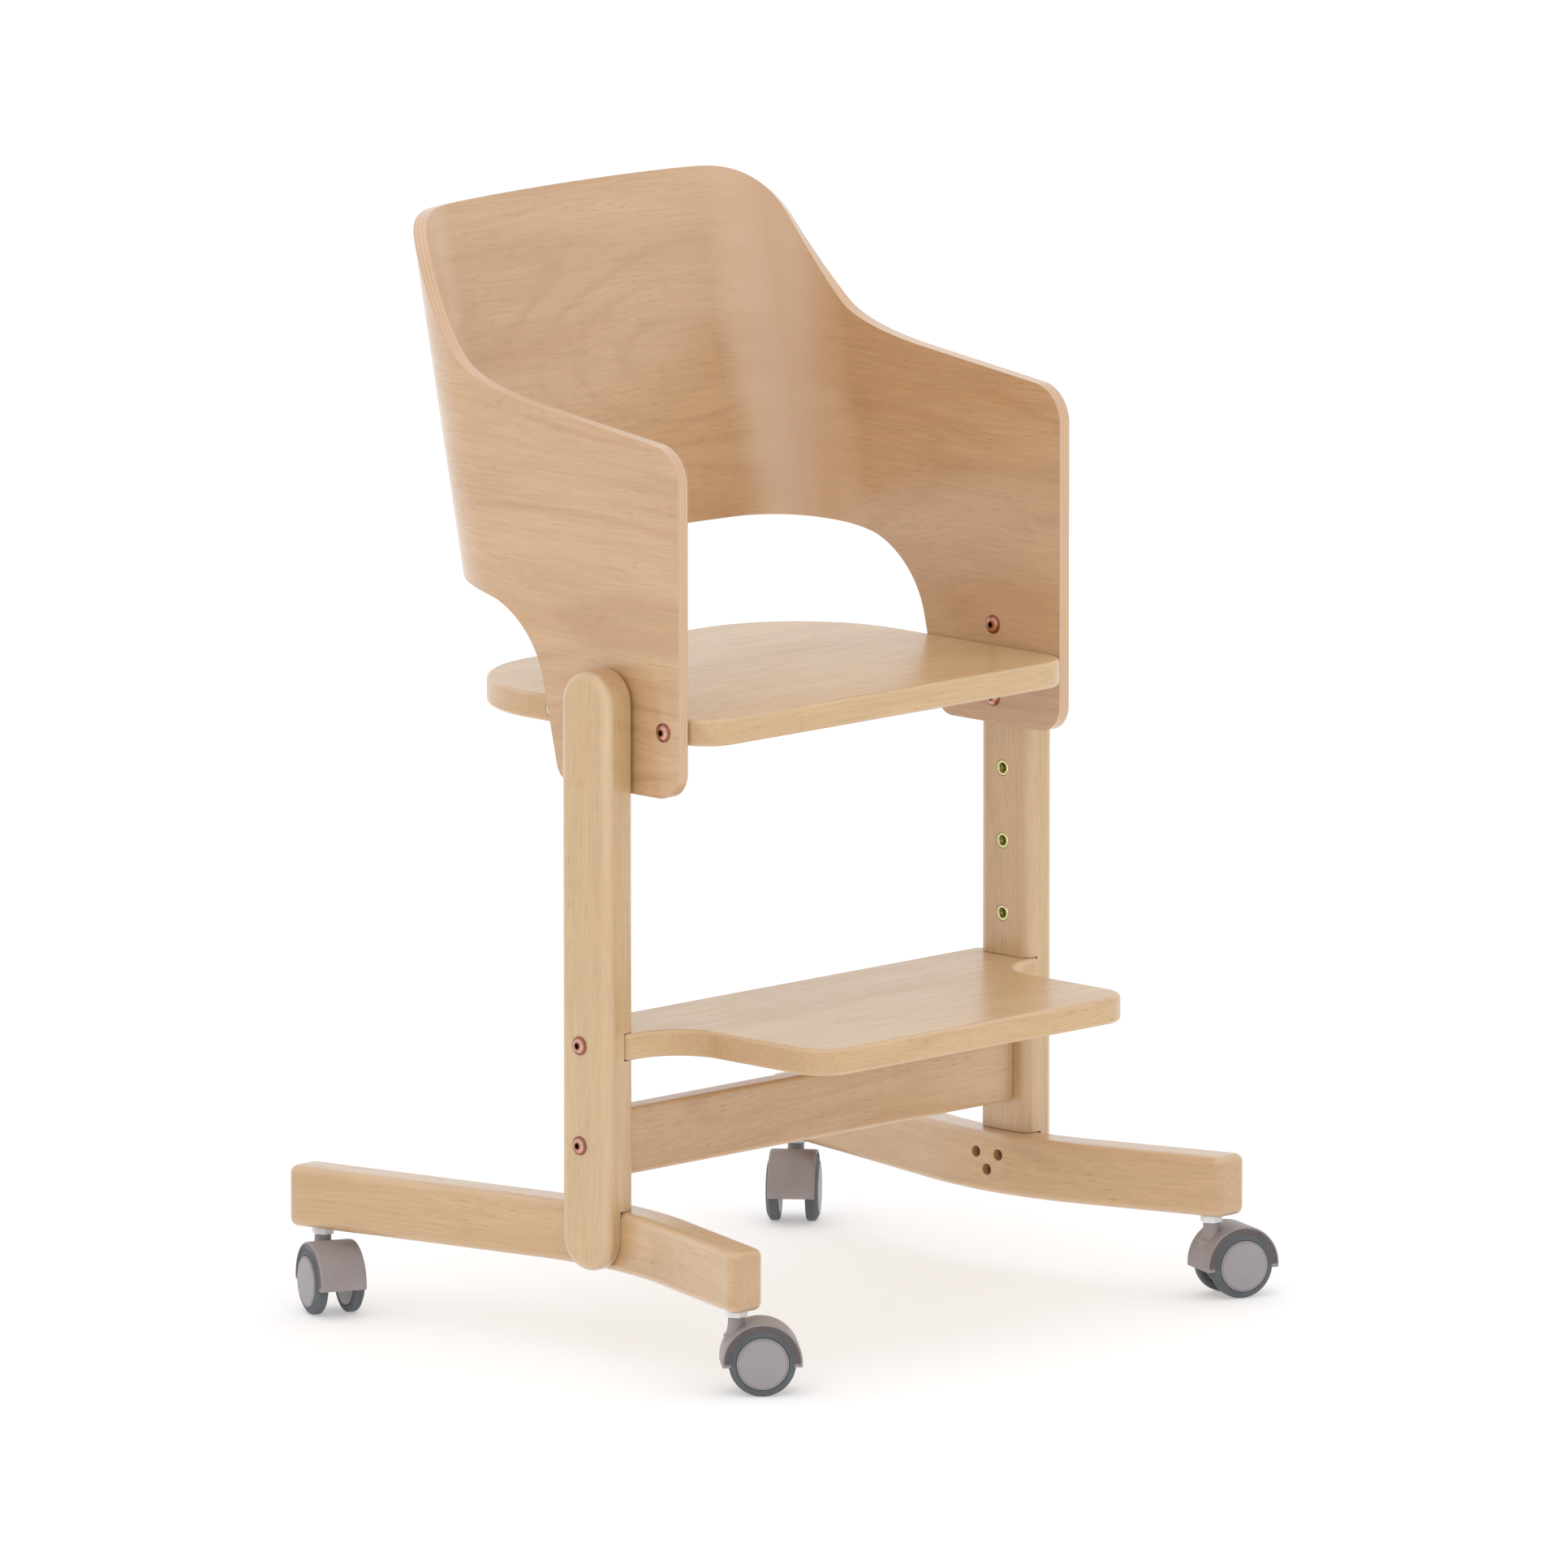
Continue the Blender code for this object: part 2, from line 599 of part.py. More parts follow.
def runner_outer_at_post():
    """The furthest that the runner's outer face reaches within the post's width."""
    return max(point.x for point in runner_face(RUNNER_THICKNESS, 40) if abs(point.y) <= POST_WIDTH / 2)


def build_runner(name, side):
    corners = []
    for face in (runner_face(0.0), reversed(runner_face(RUNNER_THICKNESS))):
        points = list(face)
        for point in points:
            radius = RUNNER_CORNER if point in (points[0], points[-1]) else 0.0
            corners.append((side * point.x, point.y, radius))
    mesh = plate(name, rounded_outline(corners, 3), RUNNER_HEIGHT, RUNNER_EDGE_RADIUS, 2)
    runner = place(name, mesh, (0.0, 0.0, RUNNER_BOTTOM + RUNNER_HEIGHT / 2), finish=RUNNER)
    for y, z in SCREW_PLACES:
        mouth = (side * RUNNER_INNER, y * MM, z * MM)
        bore(runner, mouth, -side, (SCREW_RECESS_RADIUS, SCREW_RECESS_DEPTH))
    for caster_side, y, x, _ in CASTERS.values():
        if caster_side == side:
            hole = cylinder("stem hole", STEM_RADIUS + GAP, RUNNER_BOTTOM - THROUGH, STEM_TOP + THROUGH)
            combine(runner, cutter(hole, (side * x, y, 0.0), parent=CHAIR))


# ---------------------------------------------------------------- bolts and inserts
def bolt_mesh(length):
    """A dome-headed bolt with a hexagon socket; the head stands on z = 0 and the shank runs down."""
    steps = 3
    radius = (BOLT_HEAD_RADIUS ** 2 + BOLT_HEAD_HEIGHT ** 2) / (2 * BOLT_HEAD_HEIGHT)
    rim_angle = math.asin(BOLT_HEAD_RADIUS / radius)
    angles = [rim_angle * step / steps for step in range(steps + 1)]
    dome = [(radius * math.sin(a), BOLT_HEAD_HEIGHT - radius * (1 - math.cos(a))) for a in angles]
    shank = [(BOLT_SHANK_RADIUS, 0.0), (BOLT_SHANK_RADIUS, -length), (0.0, -length)]
    bolt = turned("bolt", dome + shank, 12)
    floor = BOLT_HEAD_HEIGHT - SOCKET_DEPTH
    socket = cutter(cylinder("socket", SOCKET_RADIUS, floor, BOLT_HEAD_HEIGHT + THROUGH, 6))
    combine(bolt, socket)
    return freeze(bolt)


def insert_mesh():
    """A flanged threaded insert; its flange's face is at z = 0 and its body runs down."""
    flange, body, bore = INSERT_FLANGE_RADIUS, INSERT_RADIUS, INSERT_BORE_RADIUS
    under = -INSERT_FLANGE_THICKNESS
    profile = [(flange, 0.0), (flange, under), (body, under), (body, -INSERT_LENGTH),
               (bore, -INSERT_LENGTH), (bore, 0.0)]
    return freeze(turned("insert", profile, 12, ring=True))


def build_fasteners():
    short, long_bolt, insert = bolt_mesh(BOLT_LENGTH), bolt_mesh(LONG_BOLT_LENGTH), insert_mesh()
    heights = insert_heights()
    seat_middle = SEAT_TOP - SEAT_THICKNESS / 2
    shell_inside = SHELL_HALF_WIDTH - SHELL_THICKNESS - GAP
    shell_outside = SHELL_HALF_WIDTH + GAP
    post_outside = POST_INNER + POST_THICKNESS + GAP
    for label, side in SIDES.items():
        for number, index in enumerate(SHELL_BOLT_INSERTS, 1):
            spot = (side * shell_inside, 0.0, heights[index])
            place(f"shell_bolt_{label}_{number}", short, spot, along_x(-side), finish=BOLT)
        for number, y in enumerate(SEAT_BOLT_YS, 1):
            spot = (side * shell_outside, y, seat_middle)
            place(f"seat_bolt_{label}_{number}", short, spot, along_x(side), finish=BOLT)
        for board, z in (("footrest", footrest_middle()), ("crossbar", crossbar_bolt_z())):
            spot = (side * post_outside, LOWER_BOLT_Y, z)
            place(f"{board}_bolt_{label}", long_bolt, spot, along_x(side), finish=BOLT)
        for number, z in enumerate(heights, 1):
            spot = (side * POST_INNER, 0.0, z)
            place(f"post_insert_{label}_{number}", insert, spot, along_x(-side), finish=BRASS)
        spot = (side * SEAT_HALF_WIDTH, SEAT_INSERT_Y, seat_middle)
        place(f"seat_insert_{label}", insert, spot, along_x(side), finish=BRASS)


# ---------------------------------------------------------------- casters
def tyre_mesh():
    """The grey tread ring; z is the distance from the caster's middle plane."""
    eased = WHEEL_RADIUS - TREAD_EASE
    profile = [(TYRE_BORE, TYRE_FACE), (eased, TREAD_EDGE), (WHEEL_RADIUS, TREAD_EDGE - TREAD_EASE),
               (WHEEL_RADIUS, WHEEL_INNER + TREAD_EASE), (eased, WHEEL_INNER), (TYRE_BORE, WHEEL_INNER)]
    return freeze(turned("tyre", profile, WHEEL_STEPS, ring=True, first_angle=math.pi / WHEEL_STEPS))


def hub_mesh():
    """The wheel's disc, with a blind bore for the axle."""
    profile = [(0.0, HUB_CROWN), (HUB_SHOULDER_RADIUS, HUB_SHOULDER), (HUB_RADIUS, HUB_EDGE),
               (HUB_RADIUS, WHEEL_INNER), (HUB_BORE, WHEEL_INNER), (HUB_BORE, HUB_BORE_END),
               (0.0, HUB_BORE_END)]
    return freeze(turned("hub", profile, 16))


def housing_mesh():
    """The hood over both wheels, the web between them and the neck that turns on the stem."""
    half, flat = HOOD_HALF_WIDTH, HOOD_HALF_WIDTH - HOOD_EASE
    crown = [(0.0, half), (HOOD_SIDE_RADIUS, half), (HOOD_RADIUS, flat), (HOOD_RADIUS, -flat),
             (HOOD_SIDE_RADIUS, -half), (0.0, -half)]
    drum = turned("housing", crown, 20)
    drum.location = (CASTER_TRAIL, 0.0, AXLE_HEIGHT)
    drum.rotation_euler = (-math.pi / 2, 0.0, 0.0)
    housing = loose("housing", freeze_in_place(drum))
    neck = cylinder("neck", NECK_RADIUS, NECK_BOTTOM, NECK_TOP, 14)
    combine(housing, cutter(neck), "UNION")
    past = HOOD_HALF_WIDTH + THROUGH
    pocket = cylinder("pocket", POCKET_RADIUS, WEB_HALF_WIDTH, past, 20)
    axle_spot = (CASTER_TRAIL, 0.0, AXLE_HEIGHT)
    for turn in (-math.pi / 2, math.pi / 2):
        combine(housing, cutter(pocket, axle_spot, (turn, 0.0, 0.0)))
    reach = CASTER_TRAIL + HOOD_RADIUS + THROUGH
    below = block("below", (-reach, -past, -WHEEL_RADIUS), (reach, past, AXLE_HEIGHT - HOOD_SKIRT))
    combine(housing, cutter(below))
    axle_bore = cylinder("axle bore", AXLE_RADIUS + GAP, -past, past, 12)
    combine(housing, cutter(axle_bore, axle_spot, (math.pi / 2, 0.0, 0.0)))
    pivot_bore = cylinder("pivot bore", PIVOT_BORE, PIVOT_BOTTOM - THROUGH, NECK_TOP + THROUGH)
    combine(housing, cutter(pivot_bore))
    return freeze(housing)


def freeze_in_place(obj):
    """As freeze, with the object's own placing moved into the mesh."""
    bpy.context.view_layer.update()
    matrix = obj.matrix_world.copy()
    mesh = freeze(obj)
    mesh.transform(matrix)
    return mesh


def stem_mesh():
    """The pressed-in stem, its hexagon collar and the pivot pin that the neck turns on."""
    collar = cylinder("collar", COLLAR_RADIUS, NECK_TOP + GAP, RUNNER_BOTTOM - GAP, 6)
    stem = loose("stem", collar)
    pin = cylinder("pin", PIVOT_RADIUS, PIVOT_BOTTOM, RUNNER_BOTTOM - THROUGH)
    combine(stem, cutter(pin), "UNION")
    shaft = cylinder("shaft", STEM_RADIUS, NECK_TOP + THROUGH, STEM_TOP)
    combine(stem, cutter(shaft), "UNION")
    return freeze(stem)


def build_casters():
    stem, housing, tyre, hub = stem_mesh(), housing_mesh(), tyre_mesh(), hub_mesh()
    axle = cylinder("axle", AXLE_RADIUS, -AXLE_HALF_LENGTH, AXLE_HALF_LENGTH, 12)
    for name, (side, y, x, trail) in CASTERS.items():
        swivel = new_empty(f"{name}_swivel", (side * x, y, 0.0), trail, CHAIR)
        wheels = new_empty(f"{name}_wheels", (CASTER_TRAIL, 0.0, AXLE_HEIGHT), 0.0, swivel)
        place(f"{name}_stem", stem, (side * x, y, 0.0), finish=ZINC)
        place(f"{name}_housing", housing, parent=swivel, finish=HOOD)
        place(f"{name}_axle", axle, rotation=(math.pi / 2, 0.0, 0.0), parent=wheels, finish=AXLE)
        for letter, turn in (("a", -math.pi / 2), ("b", math.pi / 2)):
            place(f"{name}_tyre_{letter}", tyre, rotation=(turn, 0.0, 0.0), parent=wheels, finish=TYRE)
            place(f"{name}_hub_{letter}", hub, rotation=(turn, 0.0, 0.0), parent=wheels, finish=HUB)


# ---------------------------------------------------------------- the chair
clear_scene()
PARTS = new_collection("baby_high_chair")
CUTTERS = new_collection("cutters")
CHAIR = new_empty("chair_frame", CHAIR_FRAME)

PLY = material("shell_beech_ply", (0.66, 0.46, 0.29), 0.42)
BOARD = material("board_beech", (0.70, 0.50, 0.31), 0.45)
POST = material("post_beech", (0.70, 0.51, 0.31), 0.45)
RUNNER = material("runner_beech", (0.69, 0.49, 0.29), 0.45)
RAIL = material("crossbar_beech", (0.70, 0.50, 0.31), 0.45)
BOLT = material("bolt_copper", (0.52, 0.22, 0.13), 0.32, 1.0)
BRASS = material("insert_brass", (0.66, 0.66, 0.38), 0.30, 1.0)
ZINC = material("collar_zinc", (0.76, 0.78, 0.78), 0.40, 1.0)
AXLE = material("axle_steel", (0.55, 0.55, 0.56), 0.35, 1.0)
HOOD = material("hood_grey_plastic", (0.29, 0.26, 0.25), 0.45)
HUB = material("hub_grey_plastic", (0.33, 0.30, 0.31), 0.42)
TYRE = material("tyre_grey_rubber", (0.10, 0.115, 0.12), 0.70)

build_shell()
build_seat()
build_footrest()
build_crossbar()
for side_label, side_sign in SIDES.items():
    build_post(f"post_{side_label}", side_sign)
    build_runner(f"runner_{side_label}", side_sign)
build_fasteners()
build_casters()
bpy.context.view_layer.update()
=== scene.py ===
"""Looks of the baby high chair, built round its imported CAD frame.

Every piece is made in the chair's own frame, in metres: the plane of symmetry is x = 0, the posts'
centre line is y = 0 and the floor is z = 0. CHAIR, read from the frame, then puts it in its place.
Each piece carries two vertex attributes that its wood reads: "grain" (along, across, depth) in
metres, and "marks" (edge rounding, end grain, depth from the outer face).
"""
import math

import bmesh
import bpy
from mathutils import Matrix, Vector


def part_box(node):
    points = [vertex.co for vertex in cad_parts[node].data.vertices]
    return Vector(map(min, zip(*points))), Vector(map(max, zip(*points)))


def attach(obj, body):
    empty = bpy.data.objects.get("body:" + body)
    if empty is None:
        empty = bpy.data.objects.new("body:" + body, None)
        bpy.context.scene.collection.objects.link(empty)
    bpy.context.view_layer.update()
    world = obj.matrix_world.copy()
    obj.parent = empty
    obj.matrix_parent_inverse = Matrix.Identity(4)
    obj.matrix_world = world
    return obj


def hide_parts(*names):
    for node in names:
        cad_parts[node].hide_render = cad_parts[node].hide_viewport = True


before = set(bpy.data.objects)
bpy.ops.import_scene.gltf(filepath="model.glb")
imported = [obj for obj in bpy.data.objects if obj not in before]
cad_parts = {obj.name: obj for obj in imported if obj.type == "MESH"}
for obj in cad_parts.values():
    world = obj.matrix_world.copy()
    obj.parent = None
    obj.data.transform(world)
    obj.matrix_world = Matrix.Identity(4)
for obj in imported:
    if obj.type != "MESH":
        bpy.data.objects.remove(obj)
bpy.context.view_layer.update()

MM = 0.001
GAP = 0.3 * MM
LEFT, RIGHT = 1, -1
SIDES = {"left": LEFT, "right": RIGHT}
left_post, right_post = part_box("post_left"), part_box("post_right")
CHAIR = Vector(((left_post[1].x + right_post[0].x) / 2, (left_post[0].y + left_post[1].y) / 2, 0.0))

# Seat shell
SHELL_THICKNESS = 10.0 * MM
SHELL_HALF_WIDTH = 204.3 * MM
SHELL_BEND_RADIUS = 80.0 * MM
SHELL_EDGE_RADIUS = 2.4 * MM
BACK_LEAN = math.radians(11.9)
BACK_LEVEL = 558.5 * MM
BACK_Y = 203.7 * MM
SHELL_FRONT = -69.2 * MM
SHELL_BOTTOM = 419.0 * MM
CROWN_EDGE = ((0.0, 818.8), (50.0, 818.8), (105.0, 817.9), (145.0, 815.5))
SHOULDER_EDGE = ((145.0, 815.5), (178.0, 812.5), (197.0, 800.0), (209.0, 775.0))
FALL_EDGE = ((209.0, 775.0), (217.0, 758.0), (236.0, 727.5), (250.0, 716.5))
ARCH_EDGE = ((0.0, 560.0), (100.0, 560.0), (215.0, 557.5), (250.0, 546.5))
ARM_HANDLES = ((140.7 * MM, 705.5 * MM), (106.0 * MM, 698.3 * MM))
ARM_START = (75.0 * MM, 694.6 * MM)
ARM_TIP = (SHELL_FRONT, 677.3 * MM)
LEG_HANDLES = ((103.0 * MM, 540.0 * MM), (79.0 * MM, 522.0 * MM))
LEG_START = (72.0 * MM, 492.0 * MM)
HEEL = (54.9 * MM, SHELL_BOTTOM)
TOE = (SHELL_FRONT, SHELL_BOTTOM)
ARM_TIP_RADIUS = 29.0 * MM
HEEL_RADIUS = 15.0 * MM
TOE_RADIUS = 20.0 * MM

# Posts
POST_INNER = SHELL_HALF_WIDTH + GAP
POST_THICKNESS = 30.0 * MM
POST_WIDTH = 50.0 * MM
POST_BOTTOM = 63.0 * MM
POST_TOP = 511.0 * MM
POST_EDGE_RADIUS = 8.0 * MM

# Seat board
SEAT_TOP = 478.5 * MM
SEAT_THICKNESS = 20.0 * MM
SEAT_HALF_WIDTH = 193.5 * MM
SEAT_FRONT = -87.3 * MM
SEAT_REAR = 204.7 * MM
SEAT_FRONT_CORNER = 30.0 * MM
SEAT_REAR_CORNER = 105.0 * MM
BOARD_EDGE_RADIUS = 3.0 * MM

# Footrest
FOOTREST_TOP = 241.6 * MM
FOOTREST_THICKNESS = 20.0 * MM
FOOTREST_FRONT = -178.5 * MM
FOOTREST_REAR = 35.6 * MM
FOOTREST_HALF_WIDTH = 164.5 * MM
FOOTREST_CORNER = 28.0 * MM
FOOTREST_NECK = 39.0 * MM
TAB_FRONT = -29.0 * MM
TAB_CORNER = 6.0 * MM
HOUSING_DEPTH = 12.0 * MM

# Crossbar
CROSSBAR_HEIGHT = 50.0 * MM
CROSSBAR_THICKNESS = 20.0 * MM
CROSSBAR_BOTTOM = 131.8 * MM
CROSSBAR_Y = -1.7 * MM
CROSSBAR_EDGE_RADIUS = 4.0 * MM

# Runners
RUNNER_BOTTOM = 62.5 * MM
RUNNER_HEIGHT = 46.0 * MM
RUNNER_THICKNESS = 30.0 * MM
RUNNER_INNER = 188.1 * MM
RUNNER_BEND_Y = 11.2 * MM
RUNNER_BEND_RADIUS = 295.0 * MM
RUNNER_FRONT_SPLAY = math.radians(18.3)
RUNNER_REAR_SPLAY = math.radians(11.8)
RUNNER_FRONT = -192.5 * MM
RUNNER_REAR = 281.0 * MM
RUNNER_EDGE_RADIUS = 6.0 * MM
RUNNER_CORNER = 7.5 * MM
SCREW_RECESS_RADIUS = 4.4 * MM
SCREW_RECESS_DEPTH = 12.0 * MM
SCREW_PLACES = ((11.0, 92.8), (-11.0, 92.8), (0.0, 80.5))

# Bolts and threaded inserts
BOLT_HEAD_RADIUS = 7.0 * MM
BOLT_HEAD_HEIGHT = 3.0 * MM
BOLT_SHANK_RADIUS = 3.0 * MM
BOLT_LENGTH = 30.0 * MM
LONG_BOLT_LENGTH = 45.0 * MM
BOLT_HOLE_RADIUS = 3.5 * MM
SOCKET_RADIUS = 2.3 * MM
SOCKET_DEPTH = 2.0 * MM
INSERT_FLANGE_RADIUS = 5.8 * MM
INSERT_FLANGE_THICKNESS = 1.2 * MM
INSERT_RADIUS = 4.6 * MM
INSERT_BORE_RADIUS = 3.35 * MM
INSERT_LENGTH = 13.0 * MM
INSERT_STAGES = ((INSERT_FLANGE_RADIUS + GAP, INSERT_FLANGE_THICKNESS + GAP),
                 (INSERT_RADIUS + GAP, INSERT_LENGTH + GAP))
TOP_INSERT = 493.3 * MM
INSERT_PITCH = 55.0 * MM
INSERT_COUNT = 5
SHELL_BOLT_INSERTS = (0, 1)
LOWER_BOLT_Y = 3.4 * MM
SEAT_BOLT_YS = (-53.7 * MM, 42.3 * MM)
SEAT_INSERT_Y = 74.3 * MM

# Casters
WHEEL_RADIUS = 25.0 * MM
WHEEL_STEPS = 20
WHEEL_INNER = 10.2 * MM
TREAD_EDGE = 17.5 * MM
TYRE_FACE = 19.7 * MM
HUB_EDGE = 19.8 * MM
HUB_CROWN = 20.8 * MM
HUB_BORE_END = 18.0 * MM
TYRE_BORE = 19.6 * MM
HUB_RADIUS = 19.3 * MM
HUB_BORE = 2.9 * MM
AXLE_RADIUS = 2.5 * MM
AXLE_HALF_LENGTH = 17.5 * MM
AXLE_HEIGHT = WHEEL_RADIUS * math.cos(math.pi / WHEEL_STEPS)
CASTER_TRAIL = 18.0 * MM
HOOD_RADIUS = 29.6 * MM
HOOD_SIDE_RADIUS = 29.0 * MM
HOOD_HALF_WIDTH = 17.8 * MM
HOOD_EASE = 3.0 * MM
HOOD_SKIRT = 3.0 * MM
POCKET_RADIUS = 27.7 * MM
WEB_HALF_WIDTH = 8.6 * MM
NECK_RADIUS = 6.25 * MM
NECK_FOOT_RADIUS = 9.5 * MM
NECK_BOTTOM = 35.0 * MM
NECK_TOP = 56.4 * MM
PIVOT_RADIUS = 3.5 * MM
PIVOT_BORE = 3.8 * MM
PIVOT_BOTTOM = 40.0 * MM
COLLAR_RADIUS = 8.4 * MM
STEM_RADIUS = 4.0 * MM
STEM_TOP = 96.0 * MM
CASTERS = {
    "caster_front_left": (LEFT, -174.6 * MM, 249.5 * MM, math.radians(-20.0)),
    "caster_front_right": (RIGHT, -174.6 * MM, 249.5 * MM, math.radians(-41.0)),
    "caster_rear_left": (LEFT, 261.5 * MM, 248.5 * MM, math.radians(-140.0)),
    "caster_rear_right": (RIGHT, 261.5 * MM, 248.5 * MM, math.radians(-114.5)),
}

MERGE = 0.005 * MM
THROUGH = 1.0 * MM
SHARP = math.radians(38)


# ---- outlines
def arc(centre, radius, start, end, steps):
    angles = [start + (end - start) * step / steps for step in range(steps + 1)]
    return [Vector((centre[0] + radius * math.cos(a), centre[1] + radius * math.sin(a))) for a in angles]


def fillet(before, corner, after, radius, steps):
    """The arc that rounds a corner between two straight lines."""
    here = Vector(corner)
    back = (Vector(before) - here).normalized()
    ahead = (Vector(after) - here).normalized()
    half = back.angle(ahead) / 2
    centre = here + (back + ahead).normalized() * radius / math.sin(half)
    first = here + back * radius / math.tan(half) - centre
    last = here + ahead * radius / math.tan(half) - centre
    start = math.atan2(first.y, first.x)
    turn = (math.atan2(last.y, last.x) - start + math.pi) % math.tau - math.pi
    return arc(centre, radius, start, start + turn, steps)


def rounded_outline(corners, steps):
    """A closed outline through (x, y, radius) corners."""
    points = []
    for index, (x, y, radius) in enumerate(corners):
        before = corners[index - 1][:2]
        after = corners[(index + 1) % len(corners)][:2]
        for point in fillet(before, (x, y), after, radius, steps) if radius else [Vector((x, y))]:
            if not points or (point - points[-1]).length > MERGE:
                points.append(point)
    return points[:-1] if (points[0] - points[-1]).length < MERGE else points


def softened(profile, radius, steps):
    """A closed (radius, height) profile with its corners rounded."""
    points = []
    for index, corner in enumerate(profile):
        before, after = Vector(profile[index - 1]), Vector(profile[(index + 1) % len(profile)])
        here = Vector(corner)
        back, ahead = before - here, after - here
        half = back.angle(ahead) / 2
        reach = 0.45 * min(back.length, ahead.length) * math.tan(half)
        points += fillet(before, here, after, min(radius, reach), steps)
    return points


def bezier(start, start_handle, end_handle, end, steps):
    p0, p1, p2, p3 = (Vector(p) for p in (start, start_handle, end_handle, end))
    points = []
    for step in range(steps + 1):
        t = step / steps
        points.append(p0 * (1 - t) ** 3 + p1 * 3 * t * (1 - t) ** 2 + p2 * 3 * t * t * (1 - t) + p3 * t ** 3)
    return points


def straight(start, end, steps):
    return [Vector(start).lerp(Vector(end), step / steps) for step in range(steps + 1)]


def chain(*stretches):
    points = list(stretches[0])
    for stretch in stretches[1:]:
        points += stretch[1:]
    return points


# ---- mesh work
def loose(name, data):
    made = bpy.data.objects.new(name, data)
    bpy.context.scene.collection.objects.link(made)
    return made


def cleaned(mesh, slivers=False):
    """Welds a mesh, takes out its slivers if asked, and turns its faces outward."""
    work = bmesh.new()
    work.from_mesh(mesh)
    bmesh.ops.remove_doubles(work, verts=work.verts, dist=MERGE)
    if slivers:
        bmesh.ops.dissolve_degenerate(work, edges=work.edges, dist=MERGE)
    bmesh.ops.recalc_face_normals(work, faces=work.faces)
    work.to_mesh(mesh)
    work.free()
    return mesh


def mesh_from(name, verts, faces):
    mesh = bpy.data.meshes.new(name)
    mesh.from_pydata([tuple(v) for v in verts], [], faces)
    return cleaned(mesh)


def board(name, outline, low, high, edge, steps=4):
    """A flat board from its outline, its long edges rounded ring by ring."""
    count = len(outline)
    area = sum(a.x * b.y - b.x * a.y for a, b in zip(outline, outline[1:] + outline[:1]))
    if area < 0:
        outline = outline[::-1]
    normals = []
    for index in range(count):
        before = (outline[index] - outline[index - 1]).normalized()
        after = (outline[(index + 1) % count] - outline[index]).normalized()
        first, second = Vector((before.y, -before.x)), Vector((after.y, -after.x))
        normals.append((first + second) / (1.0 + first.dot(second)))
    rings = []
    for step in range(steps + 1):
        angle = math.pi / 2 * step / steps
        rings.append((edge * (1 - math.sin(angle)), low + edge * (1 - math.cos(angle))))
    for step in range(steps, -1, -1):
        angle = math.pi / 2 * step / steps
        rings.append((edge * (1 - math.sin(angle)), high - edge * (1 - math.cos(angle))))
    verts, faces = [], []
    for inset, z in rings:
        verts += [Vector((*(point - normal * inset), z)) for point, normal in zip(outline, normals)]
    for ring in range(len(rings) - 1):
        for index in range(count):
            other = (index + 1) % count
            faces.append((ring * count + index, ring * count + other,
                          (ring + 1) * count + other, (ring + 1) * count + index))
    faces.append(tuple(range(count))[::-1])
    faces.append(tuple(range((len(rings) - 1) * count, len(rings) * count)))
    return mesh_from(name, verts, faces)


def lathe(name, profile, steps, ring=False):
    """A turned shape about z from a (radius, z) profile that runs down its outer side."""
    verts, faces = [], []
    count = len(profile)
    for step in range(steps):
        angle = math.tau * step / steps
        verts += [Vector((r * math.cos(angle), r * math.sin(angle), z)) for r, z in profile]
    for step in range(steps):
        here, there = step * count, (step + 1) % steps * count
        for index in range(count if ring else count - 1):
            other = (index + 1) % count
            corners = [here + index, here + other, there + other, there + index]
            if profile[index][0] == 0.0:
                corners.pop(3)
            elif profile[other][0] == 0.0:
                corners.pop(2)
            faces.append(tuple(corners))
    return mesh_from(name, verts, faces)


def cylinder(name, radius, bottom, top, steps=32):
    return lathe(name, [(0.0, top), (radius, top), (radius, bottom), (0.0, bottom)], steps)


def block(name, low, high):
    x0, y0, z0 = low
    x1, y1, z1 = high
    verts = [(x, y, z) for x in (x0, x1) for y in (y0, y1) for z in (z0, z1)]
    faces = [(0, 1, 3, 2), (4, 6, 7, 5), (0, 4, 5, 1), (2, 3, 7, 6), (0, 2, 6, 4), (1, 5, 7, 3)]
    return mesh_from(name, verts, faces)


def evaluated(obj):
    """The mesh of an object with its modifiers applied; the object goes."""
    bpy.context.view_layer.update()
    graph = bpy.context.evaluated_depsgraph_get()
    mesh = bpy.data.meshes.new_from_object(obj.evaluated_get(graph))
    bpy.data.objects.remove(obj, do_unlink=True)
    return mesh


def carve(mesh, cuts, operation="DIFFERENCE"):
    """Takes solids away from a mesh, or joins them to it, with exact booleans."""
    body = loose("body", mesh)
    tools = []
    for cut in cuts:
        tool = loose("cut", cut)
        tools.append(tool)
        modifier = body.modifiers.new("cut", "BOOLEAN")
        modifier.operation = operation
        modifier.solver = "EXACT"
        modifier.object = tool
    made = evaluated(body)
    for tool in tools:
        bpy.data.objects.remove(tool, do_unlink=True)
    return made


def smoothed(mesh):
    """Smooth shading that leaves flat faces flat."""
    cleaned(mesh, slivers=True)
    mesh.shade_smooth()
    mesh.set_sharp_from_angle(angle=SHARP)
    shape = loose("shape", mesh)
    weigh = shape.modifiers.new("normals", "WEIGHTED_NORMAL")
    weigh.mode = "FACE_AREA"
    weigh.keep_sharp = True
    return evaluated(shape)


def chamfered(mesh, width):
    shape = loose("shape", mesh)
    bevel = shape.modifiers.new("edges", "BEVEL")
    bevel.width = width
    bevel.segments = 2
    bevel.limit_method = "ANGLE"
    bevel.angle_limit = SHARP
    return evaluated(shape)


